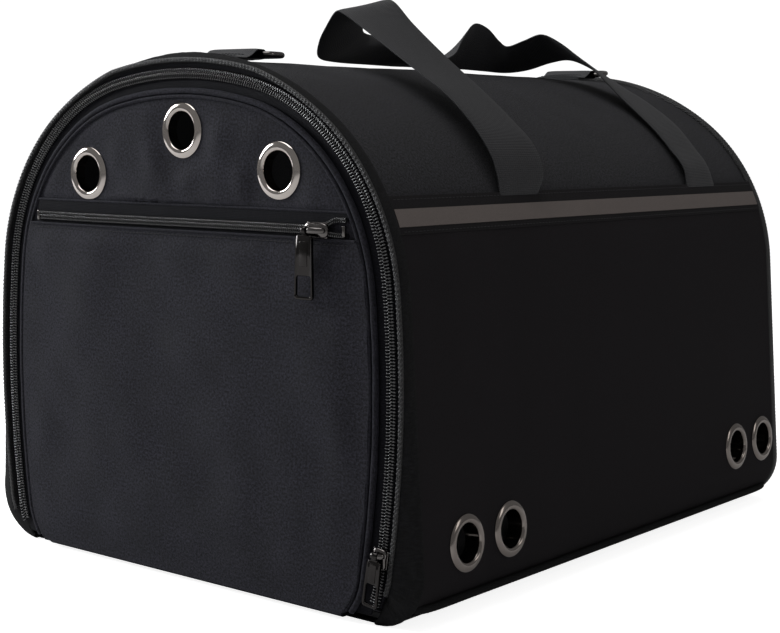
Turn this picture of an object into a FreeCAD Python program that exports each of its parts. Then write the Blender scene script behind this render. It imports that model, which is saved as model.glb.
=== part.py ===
"""Soft-sided pet carrier with an arched tunnel body, a zipped front door and two webbing handles.

Millimetres. +Z is up, +Y runs from the door to the rear, +X is the carrier's right side.
The origin lies on the ground, under the middle of the base.

The arch section is made of tangent arcs: a crown arc, two shoulder arcs, two straight leaning
sides and two bottom corner arcs. Every layer of the wall is that section moved inwards by an
"inset", so its arcs keep their centres and lose that much radius.

The door zip follows a second section of tangent arcs, with fuller shoulders and sides that
draw in towards the ground. Insets of the zip and the door count inwards from that line.
"""
import FreeCAD, Part
import math
import os

import Sketcher
from FreeCAD import Placement, Rotation, Vector

DIMENSIONS = {
    # arch section
    "arch_height": 300.0,
    "crown_radius": 179.0,
    "crown_angle": 35.0,
    "shoulder_radius": 129.0,
    "side_lean": 4.5,
    "corner_radius": 30.0,
    # door zip section
    "zip_crown_radius": 250.0,
    "zip_shoulder_radius": 120.5,
    "zip_side_radius": 600.0,
    "zip_corner_radius": 50.0,
    "zip_widest": 151.0,
    "zip_widest_height": 115.0,
    "zip_side_top": 6.0,
    "zip_side_foot": -8.8,
    # rear window section
    "window_corner_radius": 60.0,
    "window_corner_height": 46.0,
    # lengths along the carrier
    "front_edge": -211.0,
    "binding_depth": 7.0,
    "shell_half_length": 204.0,
    # wall insets
    "cover_inset": 2.8,
    "cover_thickness": 1.0,
    "foam_thickness": 4.0,
    "lining_thickness": 0.8,
    "binding_thickness": 5.0,
    "front_binding_thickness": 2.8,
    "side_panel_inset": 0.7,
    "side_panel_thickness": 0.7,
    "hem_thickness": 0.4,
    "strip_thickness": 0.2,
    "seam_height": 8.0,
    # side pocket hem
    "hem_bottom": 205.5,
    "hem_top": 225.0,
    "strip_bottom": 209.5,
    "strip_top": 218.5,
    # rear end
    "window_hole_inset": 40.0,
    "mesh_inset": 37.0,
    "rear_foam_front": 201.6,
    "rear_foam_thickness": 3.5,
    "mesh_front": 205.15,
    "mesh_thickness": 0.8,
    "rear_panel_front": 206.0,
    "rear_panel_thickness": 1.2,
    "window_tape_front": 207.2,
    "window_tape_thickness": 1.4,
    # door zip
    "tape_thickness": 0.9,
    "teeth_height": 2.2,
    "teeth_end": 12.0,
    "frame_teeth_outer": -3.0,
    "frame_teeth_inner": -0.2,
    "door_teeth_outer": 0.2,
    "door_teeth_inner": 3.0,
    "zip_plane": -210.0,
    # door
    "piping_outer": 8.5,
    "piping_inner": 12.5,
    "piping_height": 4.0,
    "door_inset": 12.9,
    "door_bottom": 3.6,
    "door_tape_end": 6.0,
    "door_fabric": 1.0,
    "door_foam": 3.8,
    "door_foam_recess": 1.4,
    "pocket_recess": 4.4,
    "pocket_line": 206.5,
    "pocket_tape_height": 6.0,
    "pocket_tape_thickness": 0.8,
    "pocket_teeth_height": 2.6,
    "pocket_teeth_depth": 2.0,
    "pocket_zip_length": 246.0,
    # eyelets
    "eyelet_outer": 15.5,
    "eyelet_bore": 10.5,
    "eyelet_barrel": 11.1,
    "eyelet_flange": 1.0,
    "eyelet_hole": 12.1,
    "washer_radius": 13.0,
    "washer_thickness": 0.8,
    "side_washer_gap": 0.35,
    # webbing
    "webbing_width": 38.0,
    "webbing_thickness": 2.0,
    "anchor_bottom": 173.0,
    "tab_layer": 1.2,
    "front_foot": -85.0,
    "rear_foot": 132.0,
    "handle_standoff": 1.6,
    "grip_bottom": 300.0,
    "grip_top": 335.0,
    "grip_place": 5.0,
    # metal
    "ring_wire": 1.75,
    "ring_reach": 18.0,
    "ring_half_width": 23.0,
    "front_ring_bar": -166.2,
    "rear_ring_bar": 191.8,
    "rear_ring_tilt": 7.0,
    "pin_radius": 0.9,
    # base
    "base_fabric": 1.2,
    "board_thickness": 3.0,
    "board_half_width": 142.0,
    "board_bottom": 1.5,
    "base_lining_bottom": 5.0,
    "board_half_length": 200.0,
    "hinge_tape_height": 2.9,
    "hinge_tape_depth": 6.0,
    "mat_bottom": 6.4,
    "mat_top": 20.0,
    "mat_half_width": 137.5,
    "mat_half_length": 197.0,
}

SIDE_EYELETS = ((-165.0, 41.0), (-124.0, 41.0), (148.0, 47.0), (187.0, 47.0))
DOOR_EYELETS = ((-78.0, 231.0), (0.5, 257.0), (73.5, 236.5))
SLIDER_PLACE = 103.7
DOOR_SLIDER_HEIGHT = 38.4
RIGHT, LEFT = 1, -1

doc = FreeCAD.newDocument("pet_carrier")
sheet = doc.addObject("Spreadsheet::Sheet", "Dims")
for row, (alias, value) in enumerate(DIMENSIONS.items(), start=1):
    sheet.set("A%d" % row, alias)
    sheet.set("B%d" % row, str(value))
    sheet.setAlias("B%d" % row, alias)
doc.recompute()


def dim(alias):
    """A driving dimension, read back from the sheet."""
    return float(sheet.get(alias))


# ---------------------------------------------------------------- the arch section

CROWN_ANGLE = math.radians(dim("crown_angle"))
SIDE_LEAN = math.radians(dim("side_lean"))
CROWN_CENTRE = Vector(0, dim("arch_height") - dim("crown_radius"), 0)
SHOULDER_CENTRE = CROWN_CENTRE + (dim("crown_radius") - dim("shoulder_radius")) * Vector(
    math.sin(CROWN_ANGLE), math.cos(CROWN_ANGLE), 0
)
SIDE_NORMAL = Vector(math.cos(SIDE_LEAN), math.sin(SIDE_LEAN), 0)
SIDE_DISTANCE = SIDE_NORMAL.dot(SHOULDER_CENTRE) + dim("shoulder_radius")

RIM_CORNER = (dim("corner_radius"), dim("corner_radius"))
WINDOW_CORNER = (dim("window_corner_radius"), dim("window_corner_height"))


def side_x(inset, height):
    """How far out the straight side stands at a height."""
    return (SIDE_DISTANCE - inset - SIDE_NORMAL.y * height) / SIDE_NORMAL.x


def shoulder_angle(inset, height):
    """The shoulder arc's angle above horizontal, seen from its centre, at a height."""
    return math.asin((height - SHOULDER_CENTRE.y) / (dim("shoulder_radius") - inset))


def arc(centre, radius, start, end):
    """A circular arc, anticlockwise from start to end in radians."""
    return Part.ArcOfCircle(Part.Circle(centre, Vector(0, 0, 1), radius), start, end)


def mirrored(curve):
    """The same arc or line on the carrier's left side."""
    if isinstance(curve, Part.LineSegment):
        first, last = curve.StartPoint, curve.EndPoint
        return Part.LineSegment(Vector(-last.x, last.y, 0), Vector(-first.x, first.y, 0))
    middle = Vector(-curve.Center.x, curve.Center.y, 0)
    return arc(middle, curve.Radius, math.pi - curve.LastParameter, math.pi - curve.FirstParameter)


def corner_centre(inset, corner):
    """The centre of the bottom corner arc that is tangent to the side at this inset."""
    radius, height = corner
    across = (SIDE_DISTANCE - radius - SIDE_NORMAL.y * height) / SIDE_NORMAL.x
    return Vector(across, height, 0)


def right_flank(inset, corner, end_height, top_angle):
    """Corner arc, straight side and shoulder arc of the right side, from the bottom up."""
    centre = corner_centre(inset, corner)
    radius = corner[0] - inset
    drop = (end_height - centre.y) / radius
    start = math.asin(max(-1.0, drop))
    shoulder = dim("shoulder_radius") - inset
    low = centre + radius * SIDE_NORMAL
    high = SHOULDER_CENTRE + shoulder * SIDE_NORMAL
    return [
        arc(centre, radius, start, SIDE_LEAN),
        Part.LineSegment(low, high),
        arc(SHOULDER_CENTRE, shoulder, SIDE_LEAN, top_angle),
    ]


def arch(inset, corner, end_height):
    """The whole arch, from the right foot over the crown to the left foot."""
    flank = right_flank(inset, corner, end_height, math.pi / 2 - CROWN_ANGLE)
    crown = arc(
        CROWN_CENTRE,
        dim("crown_radius") - inset,
        math.pi / 2 - CROWN_ANGLE,
        math.pi / 2 + CROWN_ANGLE,
    )
    return flank + [crown] + [mirrored(curve) for curve in reversed(flank)]


def join(first, last):
    return Part.LineSegment(first, last)


def closed_arch(inset, corner, end_height):
    """The arch closed by a straight bottom edge."""
    path = arch(inset, corner, end_height)
    return path + [join(path[-1].EndPoint, path[0].StartPoint)]


def band(outside, inside):
    """An arch with two feet: the strip between two arches, open at the bottom."""
    feet = [
        join(outside[0].StartPoint, inside[0].StartPoint),
        join(outside[-1].EndPoint, inside[-1].EndPoint),
    ]
    return outside + inside + feet


def arch_band(outer, inner, end_height):
    return band(arch(outer, RIM_CORNER, end_height), arch(inner, RIM_CORNER, end_height))


# ---------------------------------------------------------------- the door zip's section


def along(centre, distance, angle):
    """The point at a distance and an angle from a centre."""
    return centre + distance * Vector(math.cos(angle), math.sin(angle), 0)


ZIP_CROWN, ZIP_SHOULDER = dim("zip_crown_radius"), dim("zip_shoulder_radius")
ZIP_SIDE, ZIP_CORNER = dim("zip_side_radius"), dim("zip_corner_radius")
ZIP_TOP, ZIP_FOOT = math.radians(dim("zip_side_top")), math.radians(dim("zip_side_foot"))
# neighbouring arcs share a tangent, so their centres lie on one line with the point they meet at
ZIP_SIDE_CENTRE = Vector(dim("zip_widest") - ZIP_SIDE, dim("zip_widest_height"), 0)
ZIP_SHOULDER_CENTRE = along(ZIP_SIDE_CENTRE, ZIP_SIDE - ZIP_SHOULDER, ZIP_TOP)
ZIP_CORNER_CENTRE = along(ZIP_SIDE_CENTRE, ZIP_SIDE - ZIP_CORNER, ZIP_FOOT)
ZIP_CROWN_START = math.acos(ZIP_SHOULDER_CENTRE.x / (ZIP_CROWN - ZIP_SHOULDER))
ZIP_CROWN_CENTRE = along(ZIP_SHOULDER_CENTRE, ZIP_SHOULDER - ZIP_CROWN, ZIP_CROWN_START)


def zip_flank(inset, end_height, top_angle):
    """Corner, side and shoulder arcs of the zip's right half, from the bottom up."""
    start = math.asin((end_height - ZIP_CORNER_CENTRE.y) / (ZIP_CORNER - inset))
    return [
        arc(ZIP_CORNER_CENTRE, ZIP_CORNER - inset, start, ZIP_FOOT),
        arc(ZIP_SIDE_CENTRE, ZIP_SIDE - inset, ZIP_FOOT, ZIP_TOP),
        arc(ZIP_SHOULDER_CENTRE, ZIP_SHOULDER - inset, ZIP_TOP, top_angle),
    ]


def zip_arch(inset, end_height):
    """The zip's line moved inwards by an inset, from the right foot over the crown to the left foot."""
    flank = zip_flank(inset, end_height, ZIP_CROWN_START)
    crown = arc(ZIP_CROWN_CENTRE, ZIP_CROWN - inset, ZIP_CROWN_START, math.pi - ZIP_CROWN_START)
    return flank + [crown] + [mirrored(curve) for curve in reversed(flank)]


def zip_band(outer, inner, end_height):
    return band(zip_arch(outer, end_height), zip_arch(inner, end_height))


def flank_band(outer, inner, end_height, top_height, side):
    """The strip between two insets on one side only, up to a height on the shoulder."""
    outside = right_flank(outer, RIM_CORNER, end_height, shoulder_angle(outer, top_height))
    inside = right_flank(inner, RIM_CORNER, end_height, shoulder_angle(inner, top_height))
    ends = [
        join(outside[0].StartPoint, inside[0].StartPoint),
        join(outside[-1].EndPoint, inside[-1].EndPoint),
    ]
    curves = outside + inside + ends
    return curves if side == RIGHT else [mirrored(curve) for curve in curves]


def shoulder_band(outer, inner, low, high, side):
    """A strip between two insets and two heights that lies on the shoulder arc only."""
    radius = dim("shoulder_radius")
    outside = arc(SHOULDER_CENTRE, radius - outer, shoulder_angle(outer, low), shoulder_angle(outer, high))
    inside = arc(SHOULDER_CENTRE, radius - inner, shoulder_angle(inner, low), shoulder_angle(inner, high))
    curves = [
        outside,
        inside,
        join(outside.StartPoint, inside.StartPoint),
        join(outside.EndPoint, inside.EndPoint),
    ]
    return curves if side == RIGHT else [mirrored(curve) for curve in curves]


def rectangle(x0, x1, y0, y1):
    corners = [Vector(x0, y0, 0), Vector(x1, y0, 0), Vector(x1, y1, 0), Vector(x0, y1, 0)]
    return [join(corners[i], corners[(i + 1) % 4]) for i in range(4)]


def circle(x, y, radius):
    return Part.Circle(Vector(x, y, 0), Vector(0, 0, 1), radius)


# ---------------------------------------------------------------- document helpers


def new_body(label):
    body = doc.addObject("PartDesign::Body", label)
    body.Label = label
    return body


def sketch(body, role, curves, offset="0"):
    """A sketch on one of the body's own origin planes, moved along that plane's normal."""
    plane = next(f for f in body.Origin.OriginFeatures if f.Role == role)
    name = "%s_sketch_%d" % (body.Name, len(body.Group))
    made = body.newObject("Sketcher::SketchObject", name)
    made.AttachmentSupport = [(plane, "")]
    made.MapMode = "FlatFace"
    made.setExpression("AttachmentOffset.Base.z", offset)
    made.addGeometry(curves, False)
    close_ends(made)
    return made


def close_ends(made):
    """Ties the ends of open curves that share a point."""
    ends = []
    for index, curve in enumerate(made.Geometry):
        if not isinstance(curve, Part.Circle):
            ends += [(index, 1, curve.StartPoint), (index, 2, curve.EndPoint)]
    for i, (first, first_end, first_point) in enumerate(ends):
        for second, second_end, second_point in ends[i + 1:]:
            if first != second and first_point.distanceToPoint(second_point) < 1e-6:
                made.addConstraint(Sketcher.Constraint("Coincident", first, first_end, second, second_end))


def pad(body, profile, length):
    """Pads a sketch along its normal. The XZ plane's normal points to the front, -Y."""
    feature = body.newObject("PartDesign::Pad", "%s_pad_%d" % (body.Name, len(body.Group)))
    feature.Profile = profile
    feature.setExpression("Length", length)
    return feature


def pad_back(body, curves, front, depth):
    """Pads a section drawn in XZ from the plane y = front towards the rear."""
    feature = pad(body, sketch(body, "XZ_Plane", curves, "-(%s)" % front), depth)
    feature.Reversed = True
    return feature


def cut_through(body, role, curves):
    """Cuts circles right through a body, along the plane's normal both ways."""
    doc.recompute()
    before = body.Shape.Volume
    feature = body.newObject("PartDesign::Pocket", "%s_pocket_%d" % (body.Name, len(body.Group)))
    feature.Profile = sketch(body, role, curves)
    feature.Type = "ThroughAll"
    feature.Midplane = True
    doc.recompute()
    if body.Shape.Volume >= before:
        raise RuntimeError("the cut through %s removes nothing" % body.Label)
    return feature


def side_eyelet_holes(body):
    cut_through(body, "YZ_Plane", [circle(y, z, dim("eyelet_hole")) for y, z in SIDE_EYELETS])


def door_eyelet_holes(body):
    cut_through(body, "XZ_Plane", [circle(x, z, dim("eyelet_hole")) for x, z in DOOR_EYELETS])


def section_body(label, curves, front, depth):
    """A body that is one section padded along the carrier."""
    body = new_body(label)
    pad_back(body, curves, front, depth)
    return body


# ---------------------------------------------------------------- tunnel

SHELL_FRONT = "-Dims.shell_half_length"
SHELL_LENGTH = "2 * Dims.shell_half_length"


def make_tunnel():
    cover = dim("cover_inset")
    foam = cover + dim("cover_thickness")
    lining = foam + dim("foam_thickness")
    inside = lining + dim("lining_thickness")
    for label, outer, inner in (
        ("tunnel_cover", cover, foam),
        ("tunnel_foam", foam, lining),
        ("tunnel_lining", lining, inside),
    ):
        curves = arch_band(outer, inner, dim("seam_height"))
        side_eyelet_holes(section_body(label, curves, SHELL_FRONT, SHELL_LENGTH))


def make_bindings():
    """The ribbed tape that wraps the front edge of the arch, and the closed one at the rear."""
    # the front one is slimmer, because the zip runs close beside it at the shoulders
    front = arch_band(0, dim("front_binding_thickness"), 0.0)
    section_body("front_binding", front, "Dims.front_edge", "Dims.binding_depth")
    thickness = dim("binding_thickness")
    rear = closed_arch(0, RIM_CORNER, 0.0) + closed_arch(thickness, RIM_CORNER, 0.0)
    section_body("rear_binding", rear, "-Dims.front_edge - Dims.binding_depth", "Dims.binding_depth")


def make_side(side, name):
    """The slip pocket on one long side: panel, hem band and reflective strip."""
    panel = dim("side_panel_inset")
    hem = panel - dim("hem_thickness")
    strip = hem - dim("strip_thickness")
    low, high = dim("hem_bottom"), dim("hem_top")
    curves = flank_band(panel, panel + dim("side_panel_thickness"), dim("seam_height"), high, side)
    body = section_body("side_panel_" + name, curves, SHELL_FRONT, SHELL_LENGTH)
    side_eyelet_holes(body)
    section_body("side_hem_" + name, shoulder_band(hem, panel, low, high, side), SHELL_FRONT, SHELL_LENGTH)
    section_body(
        "reflective_strip_" + name,
        shoulder_band(strip, hem, dim("strip_bottom"), dim("strip_top"), side),
        SHELL_FRONT,
        SHELL_LENGTH,
    )


def make_base():
    """Outer fabric, seam piping, stiff board, lining and the loose mat."""
    fabric = dim("base_fabric")
    seam = dim("seam_height")
    centre = corner_centre(0, RIM_CORNER)
    outer, inner = dim("corner_radius"), dim("corner_radius") - fabric
    rise_out = math.asin((seam - centre.y) / outer)
    rise_in = math.asin((seam - centre.y) / inner)
    right_out = arc(centre, outer, -math.pi / 2, rise_out)
    right_in = arc(centre, inner, -math.pi / 2, rise_in)
    tips = join(right_out.EndPoint, right_in.EndPoint)
    bottom = [
        join(mirrored(right_out).EndPoint, right_out.StartPoint),
        join(mirrored(right_in).EndPoint, right_in.StartPoint),
    ]
    half = [right_out, right_in, tips]
    curves = half + [mirrored(curve) for curve in half] + bottom
    section_body("base_cover", curves, SHELL_FRONT, SHELL_LENGTH)

    radius = 2.2
    height = seam + radius + 0.2
    outset = outer + radius + 0.1 - dim("side_panel_inset")
    reach = centre.x + math.sqrt(outset**2 - (height - centre.y) ** 2)
    for side, name in ((RIGHT, "right"), (LEFT, "left")):
        ring = [circle(side * reach, height, radius)]
        section_body("base_piping_" + name, ring, SHELL_FRONT, SHELL_LENGTH)

    for label, half, low, thickness in (
        ("base_board", dim("board_half_width"), dim("board_bottom"), dim("board_thickness")),
        ("base_lining", dim("mat_half_width"), dim("base_lining_bottom"), dim("lining_thickness")),
    ):
        layer = rectangle(-half, half, low, low + thickness)
        section_body(label, layer, "-Dims.board_half_length", "2 * Dims.board_half_length")

    mat = new_body("base_mat")
    half_width, half_length = dim("mat_half_width"), dim("mat_half_length")
    outline = rectangle(-half_width, half_width, -half_length, half_length)
    pad(mat, sketch(mat, "XY_Plane", outline, "Dims.mat_bottom"), "Dims.mat_top - Dims.mat_bottom")


def make_rear():
    """Fixed rear end: fabric and foam frame round an arched mesh window."""
    hole = dim("window_hole_inset")
    mesh_edge = dim("mesh_inset")
    rim = dim("binding_thickness") + 0.2
    window = closed_arch(hole, WINDOW_CORNER, 0.0)
    panel = closed_arch(rim, RIM_CORNER, 0.0) + window
    section_body("rear_panel", panel, "Dims.rear_panel_front", "Dims.rear_panel_thickness")
    inner_rim = dim("cover_inset") + 6.2
    foam = closed_arch(inner_rim, RIM_CORNER, dim("mat_bottom")) + window
    section_body("rear_foam", foam, "Dims.rear_foam_front", "Dims.rear_foam_thickness")
    mesh = closed_arch(mesh_edge, WINDOW_CORNER, 0.0)
    section_body("rear_mesh", mesh, "Dims.mesh_front", "Dims.mesh_thickness")
    edge = closed_arch(mesh_edge - 0.5, WINDOW_CORNER, 0.0) + closed_arch(hole + 2.0, WINDOW_CORNER, 0.0)
    section_body("rear_window_binding", edge, "Dims.window_tape_front", "Dims.window_tape_thickness")


# ---------------------------------------------------------------- front zip and door


def make_frame_zip():
    low = dim("door_bottom")
    outer = arch(dim("front_binding_thickness") - 0.9, RIM_CORNER, low)
    tape = band(outer, zip_arch(dim("frame_teeth_inner"), low))
    section_body("frame_zip_tape", tape, "Dims.zip_plane", "Dims.tape_thickness")
    teeth = zip_band(dim("frame_teeth_outer"), dim("frame_teeth_inner"), dim("teeth_end"))
    section_body("frame_zip_teeth", teeth, "Dims.zip_plane - Dims.teeth_height", "Dims.teeth_height")


def make_door():
    low = dim("door_bottom")
    teeth_outer, teeth_inner = dim("door_teeth_outer"), dim("door_teeth_inner")
    inset = dim("door_inset")
    # the tape ends above the binding's foot, which it would brush as the door swings down
    tape = zip_band(teeth_outer, inset - 0.1, dim("door_tape_end"))
    section_body("door_zip_tape", tape, "Dims.zip_plane", "Dims.tape_thickness")
    teeth = zip_band(teeth_outer, teeth_inner, dim("teeth_end"))
    section_body("door_zip_teeth", teeth, "Dims.zip_plane - Dims.teeth_height", "Dims.teeth_height")
    piping = zip_band(dim("piping_outer"), dim("piping_inner"), low)
    section_body("door_piping", piping, "Dims.zip_plane - Dims.piping_height", "Dims.piping_height")

    path = zip_arch(inset, low)
    outline = path + [join(path[-1].EndPoint, path[0].StartPoint)]
    backing_front = "Dims.zip_plane - Dims.door_foam_recess - Dims.door_fabric"
    door_eyelet_holes(section_body("door_backing", outline, backing_front, "Dims.door_fabric"))
    foam_front = "Dims.zip_plane - Dims.door_foam_recess"
    door_eyelet_holes(section_body("door_foam", outline, foam_front, "Dims.door_foam"))
    lining_front = foam_front + " + Dims.door_foam"
    door_eyelet_holes(section_body("door_lining", outline, lining_front, "Dims.lining_thickness"))

    pocket = pocket_outline(inset, low)
    section_body("door_pocket_front", pocket, "Dims.zip_plane - Dims.pocket_recess", "Dims.door_fabric")


def pocket_outline(inset, low):
    """The door's outline cut off below the pocket zip: two flanks, a top edge and a bottom edge."""
    top = dim("pocket_line") - dim("pocket_teeth_height") - 2.0
    cut = math.asin((top - ZIP_SHOULDER_CENTRE.y) / (ZIP_SHOULDER - inset))
    flank = zip_flank(inset, low, cut)
    flanks = flank + [mirrored(curve) for curve in flank]
    top_edge = join(flank[-1].EndPoint, mirrored(flank[-1]).StartPoint)
    bottom_edge = join(flank[0].StartPoint, mirrored(flank[0]).EndPoint)
    return flanks + [top_edge, bottom_edge]


def make_pocket_zip():
    """Tapes, tooth rows and end stops of the horizontal pocket zip."""
    half = dim("pocket_zip_length") / 2
    line = dim("pocket_line")
    gap = 0.2
    tooth, tape = dim("pocket_teeth_height"), dim("pocket_tape_height")
    tape_front = "Dims.zip_plane - 2.4 - Dims.pocket_tape_thickness"
    teeth_front = tape_front + " - Dims.pocket_teeth_depth"
    for name, low, high in (
        ("upper", line + gap, line + gap + tape),
        ("lower", line - gap - tape, line - gap),
    ):
        strip = rectangle(-half, half, low, high)
        section_body("pocket_zip_tape_" + name, strip, tape_front, "Dims.pocket_tape_thickness")
    for name, low in (("upper", line + gap), ("lower", line - gap - tooth)):
        row = rectangle(-half + 3, half - 3, low, low + tooth)
        section_body("pocket_zip_teeth_" + name, row, teeth_front, "Dims.pocket_teeth_depth")


def stop(x, z, wide, tall, front, depth):
    """One metal zip stop, a small block with its lowest front-left corner given."""
    return Part.makeBox(wide, depth, tall, Vector(x, front, z))


def make_stops():
    """Zip stops, grouped by the zip that they close."""
    half = dim("pocket_zip_length") / 2 - 3
    line = dim("pocket_line")
    front = dim("zip_plane") - 2.4 - dim("pocket_tape_thickness") - dim("pocket_teeth_depth")
    tall = 2 * dim("pocket_teeth_height") + 0.6
    pocket = [stop(x, line - tall / 2, 2.0, tall, front, 1.9) for x in (-half - 2.1, half + 0.1)]
    place_group("pocket_zip_stops", pocket)


def place_group(label, solids):
    """Identical small pieces that share one node."""
    group = doc.addObject("Part::Feature", label)
    group.Label = label
    group.Shape = Part.makeCompound(solids)
    return group


# ---------------------------------------------------------------- eyelets


def eyelet(wall):
    """A flanged tube. Its flange's back lies on z = 0, facing +Z, and its barrel reaches down."""
    bore, barrel, rim = dim("eyelet_bore"), dim("eyelet_barrel"), dim("eyelet_outer")
    flange = dim("eyelet_flange")
    points = [
        Vector(barrel, 0, 0),
        Vector(rim, 0, 0),
        Vector(rim, 0, flange * 0.35),
    ]
    crest = Part.Arc(points[2], Vector((rim + bore) / 2, 0, flange), Vector(bore, 0, flange * 0.2))
    edges = [
        join(points[0], points[1]).toShape(),
        join(points[1], points[2]).toShape(),
        crest.toShape(),
        join(Vector(bore, 0, flange * 0.2), Vector(bore, 0, -wall)).toShape(),
        join(Vector(bore, 0, -wall), Vector(barrel, 0, -wall)).toShape(),
        join(Vector(barrel, 0, -wall), points[0]).toShape(),
    ]
    return Part.Face(Part.Wire(edges)).revolve(Vector(0, 0, 0), Vector(0, 0, 1), 360)


def washer():
    """The flat ring pressed on the barrel's inner end, lying on z = 0 and facing -Z."""
    thickness = dim("washer_thickness")
    low = Vector(0, 0, -thickness)
    ring = Part.makeCylinder(dim("washer_radius"), thickness, low)
    return ring.cut(Part.makeCylinder(dim("eyelet_barrel") + 0.05, thickness, low))


def copies(shape, places):
    made = []
    for place in places:
        one = shape.copy()
        one.Placement = place.multiply(one.Placement)
        made.append(one)
    return made


def make_eyelets():
    panel = dim("side_panel_inset")
    inside = dim("cover_inset") + dim("cover_thickness") + dim("foam_thickness") + dim("lining_thickness")
    for side, name in ((RIGHT, "right"), (LEFT, "left")):
        outward = Vector(side * SIDE_NORMAL.x, 0, SIDE_NORMAL.y)
        turn = Rotation(Vector(0, 0, 1), outward)
        outer = [Placement(Vector(side * side_x(panel, z), y, z), turn) for y, z in SIDE_EYELETS]
        wall = inside - panel
        # the lowest washers reach down to the bend of the wall, so all of them stand a little off it
        depth = wall + dim("side_washer_gap")
        inner = [Placement(place.Base - outward * depth, turn) for place in outer]
        place_group("side_eyelets_" + name, copies(eyelet(depth + 0.7), outer))
        place_group("side_washers_" + name, copies(washer(), inner))
    turn = Rotation(Vector(0, 0, 1), Vector(0, -1, 0))
    front = dim("zip_plane") - dim("door_foam_recess") - dim("door_fabric")
    wall = dim("door_fabric") + dim("door_foam") + dim("lining_thickness")
    outer = [Placement(Vector(x, front, z), turn) for x, z in DOOR_EYELETS]
    inner = [Placement(Vector(x, front + wall, z), turn) for x, z in DOOR_EYELETS]
    place_group("door_eyelets", copies(eyelet(wall + 0.7), outer))
    place_group("door_washers", copies(washer(), inner))


# ---------------------------------------------------------------- zip sliders and pulls

CROWN_RISE = 2.7


def make_slider(label, length, breadth, along_x, place, crown):
    """A slider body: plate, two flanges that clear the teeth, and a crown with a cross pin.

    Its local origin is on the tooth row's front face, -Y is outwards. crown is the pin's
    left end, right end and height.
    """
    body = new_body(label)
    wide, tall = (length, breadth) if along_x else (breadth, length)
    plate = rectangle(-wide / 2, wide / 2, -tall / 2, tall / 2)
    pad_back(body, plate, "-2.4", "2")
    wall = 1.2
    if along_x:
        flanges = [(-wide / 2, wide / 2, s * tall / 2, s * (tall / 2 - wall)) for s in (1, -1)]
    else:
        flanges = [(s * wide / 2, s * (wide / 2 - wall), -tall / 2, tall / 2) for s in (1, -1)]
    for x0, x1, z0, z1 in flanges:
        pad_back(body, rectangle(min(x0, x1), max(x0, x1), min(z0, z1), max(z0, z1)), "-0.5", "1")
    left, right, height = crown
    pin = dim("pin_radius")
    for x in (left - 1.6, right):
        pad_back(body, rectangle(x, x + 1.6, height - 1.6, height + 1.6), "-6.2", "3.9")
    rod = sketch(body, "YZ_Plane", [circle(-2.4 - CROWN_RISE, height, pin)], "%g" % (left - 0.1))
    pad(body, rod, "%g" % (right - left + 0.2))
    body.Placement = place
    return body


def make_pull(label, eye, place, length, width):
    """A flat pull: an eye round the pin, a plate and a window near its lower end.

    Its local origin is on the pin's axis, at the middle of the eye. -Z is down.
    """
    body = new_body(label)
    pin = dim("pin_radius")
    sleeve = sketch(body, "YZ_Plane", [circle(0, 0, 2.1), circle(0, 0, pin + 0.3)], "%g" % (-eye / 2))
    pad(body, sleeve, "%g" % eye)
    thick = 1.7
    pad_back(body, rectangle(-eye / 2, eye / 2, -4.5, -1.6), "%g" % (-thick / 2), "%g" % thick)
    window = rectangle(-width / 2 + 1.7, width / 2 - 1.7, -length + 2.2, -length + 12.8)
    frame = rectangle(-width / 2, width / 2, -length, -4.0)
    pad_back(body, frame + window, "%g" % (-thick / 2), "%g" % thick)
    doc.recompute()
    body.Placement = place
    return body


def make_sliders():
    teeth_front = dim("zip_plane") - 2.4 - dim("pocket_tape_thickness") - dim("pocket_teeth_depth")
    line = dim("pocket_line")
    place = Placement(Vector(SLIDER_PLACE, teeth_front, line), Rotation())
    make_slider("pocket_slider", 16.5, 8.6, True, place, (-6.2, 5.6, 0.0))
    pull_at = Vector(SLIDER_PLACE - 4.6, teeth_front - 2.4 - CROWN_RISE, line)
    make_pull("pocket_pull", 3.0, Placement(pull_at, Rotation()), 36.5, 13.0)

    front = dim("zip_plane") - dim("teeth_height")
    # the slider sits square on the chain, which curves round the centre of its side arc
    turn = math.asin((DOOR_SLIDER_HEIGHT - ZIP_SIDE_CENTRE.y) / ZIP_SIDE)
    foot = along(ZIP_SIDE_CENTRE, ZIP_SIDE, turn)
    lean = Rotation(Vector(0, 1, 0), -math.degrees(turn))
    place = Placement(Vector(foot.x, front, DOOR_SLIDER_HEIGHT), lean)
    make_slider("door_slider", 11.5, 10.0, False, place, (-2.4, 2.4, 2.4))
    pull_at = place.multVec(Vector(0, -2.4 - CROWN_RISE, 2.4))
    make_pull("door_pull", 4.0, Placement(pull_at, lean), 28.0, 10.0)


# ---------------------------------------------------------------- webbing


def foot_places():
    half = dim("webbing_width") / 2
    return [(y - half, y + half) for y in (dim("front_foot"), dim("rear_foot"))]


def make_anchors(side, name):
    """The handles' tails, sewn to the cover under the side pocket."""
    outer = dim("side_panel_inset") + dim("side_panel_thickness")
    inner = dim("cover_inset")
    solids = []
    for y0, y1 in foot_places():
        curves = shoulder_band(outer, inner, dim("anchor_bottom"), dim("hem_top") - 1.0, side)
        edges = [curve.toShape() for curve in curves]
        face = Part.Face(Part.Wire(Part.__sortEdges__(edges)))
        face.rotate(Vector(0, 0, 0), Vector(1, 0, 0), 90)
        face.translate(Vector(0, y0, 0))
        solids.append(face.extrude(Vector(0, y1 - y0, 0)))
    place_group("handle_anchors_" + name, solids)


def pivot_point():
    """Where the webbing leaves the pocket hem, on the handle's own middle line."""
    outset = -dim("handle_standoff")
    angle = shoulder_angle(outset, dim("hem_top") + 2.4)
    radius = dim("shoulder_radius") - outset
    return SHOULDER_CENTRE + radius * Vector(math.cos(angle), math.sin(angle), 0)


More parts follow.
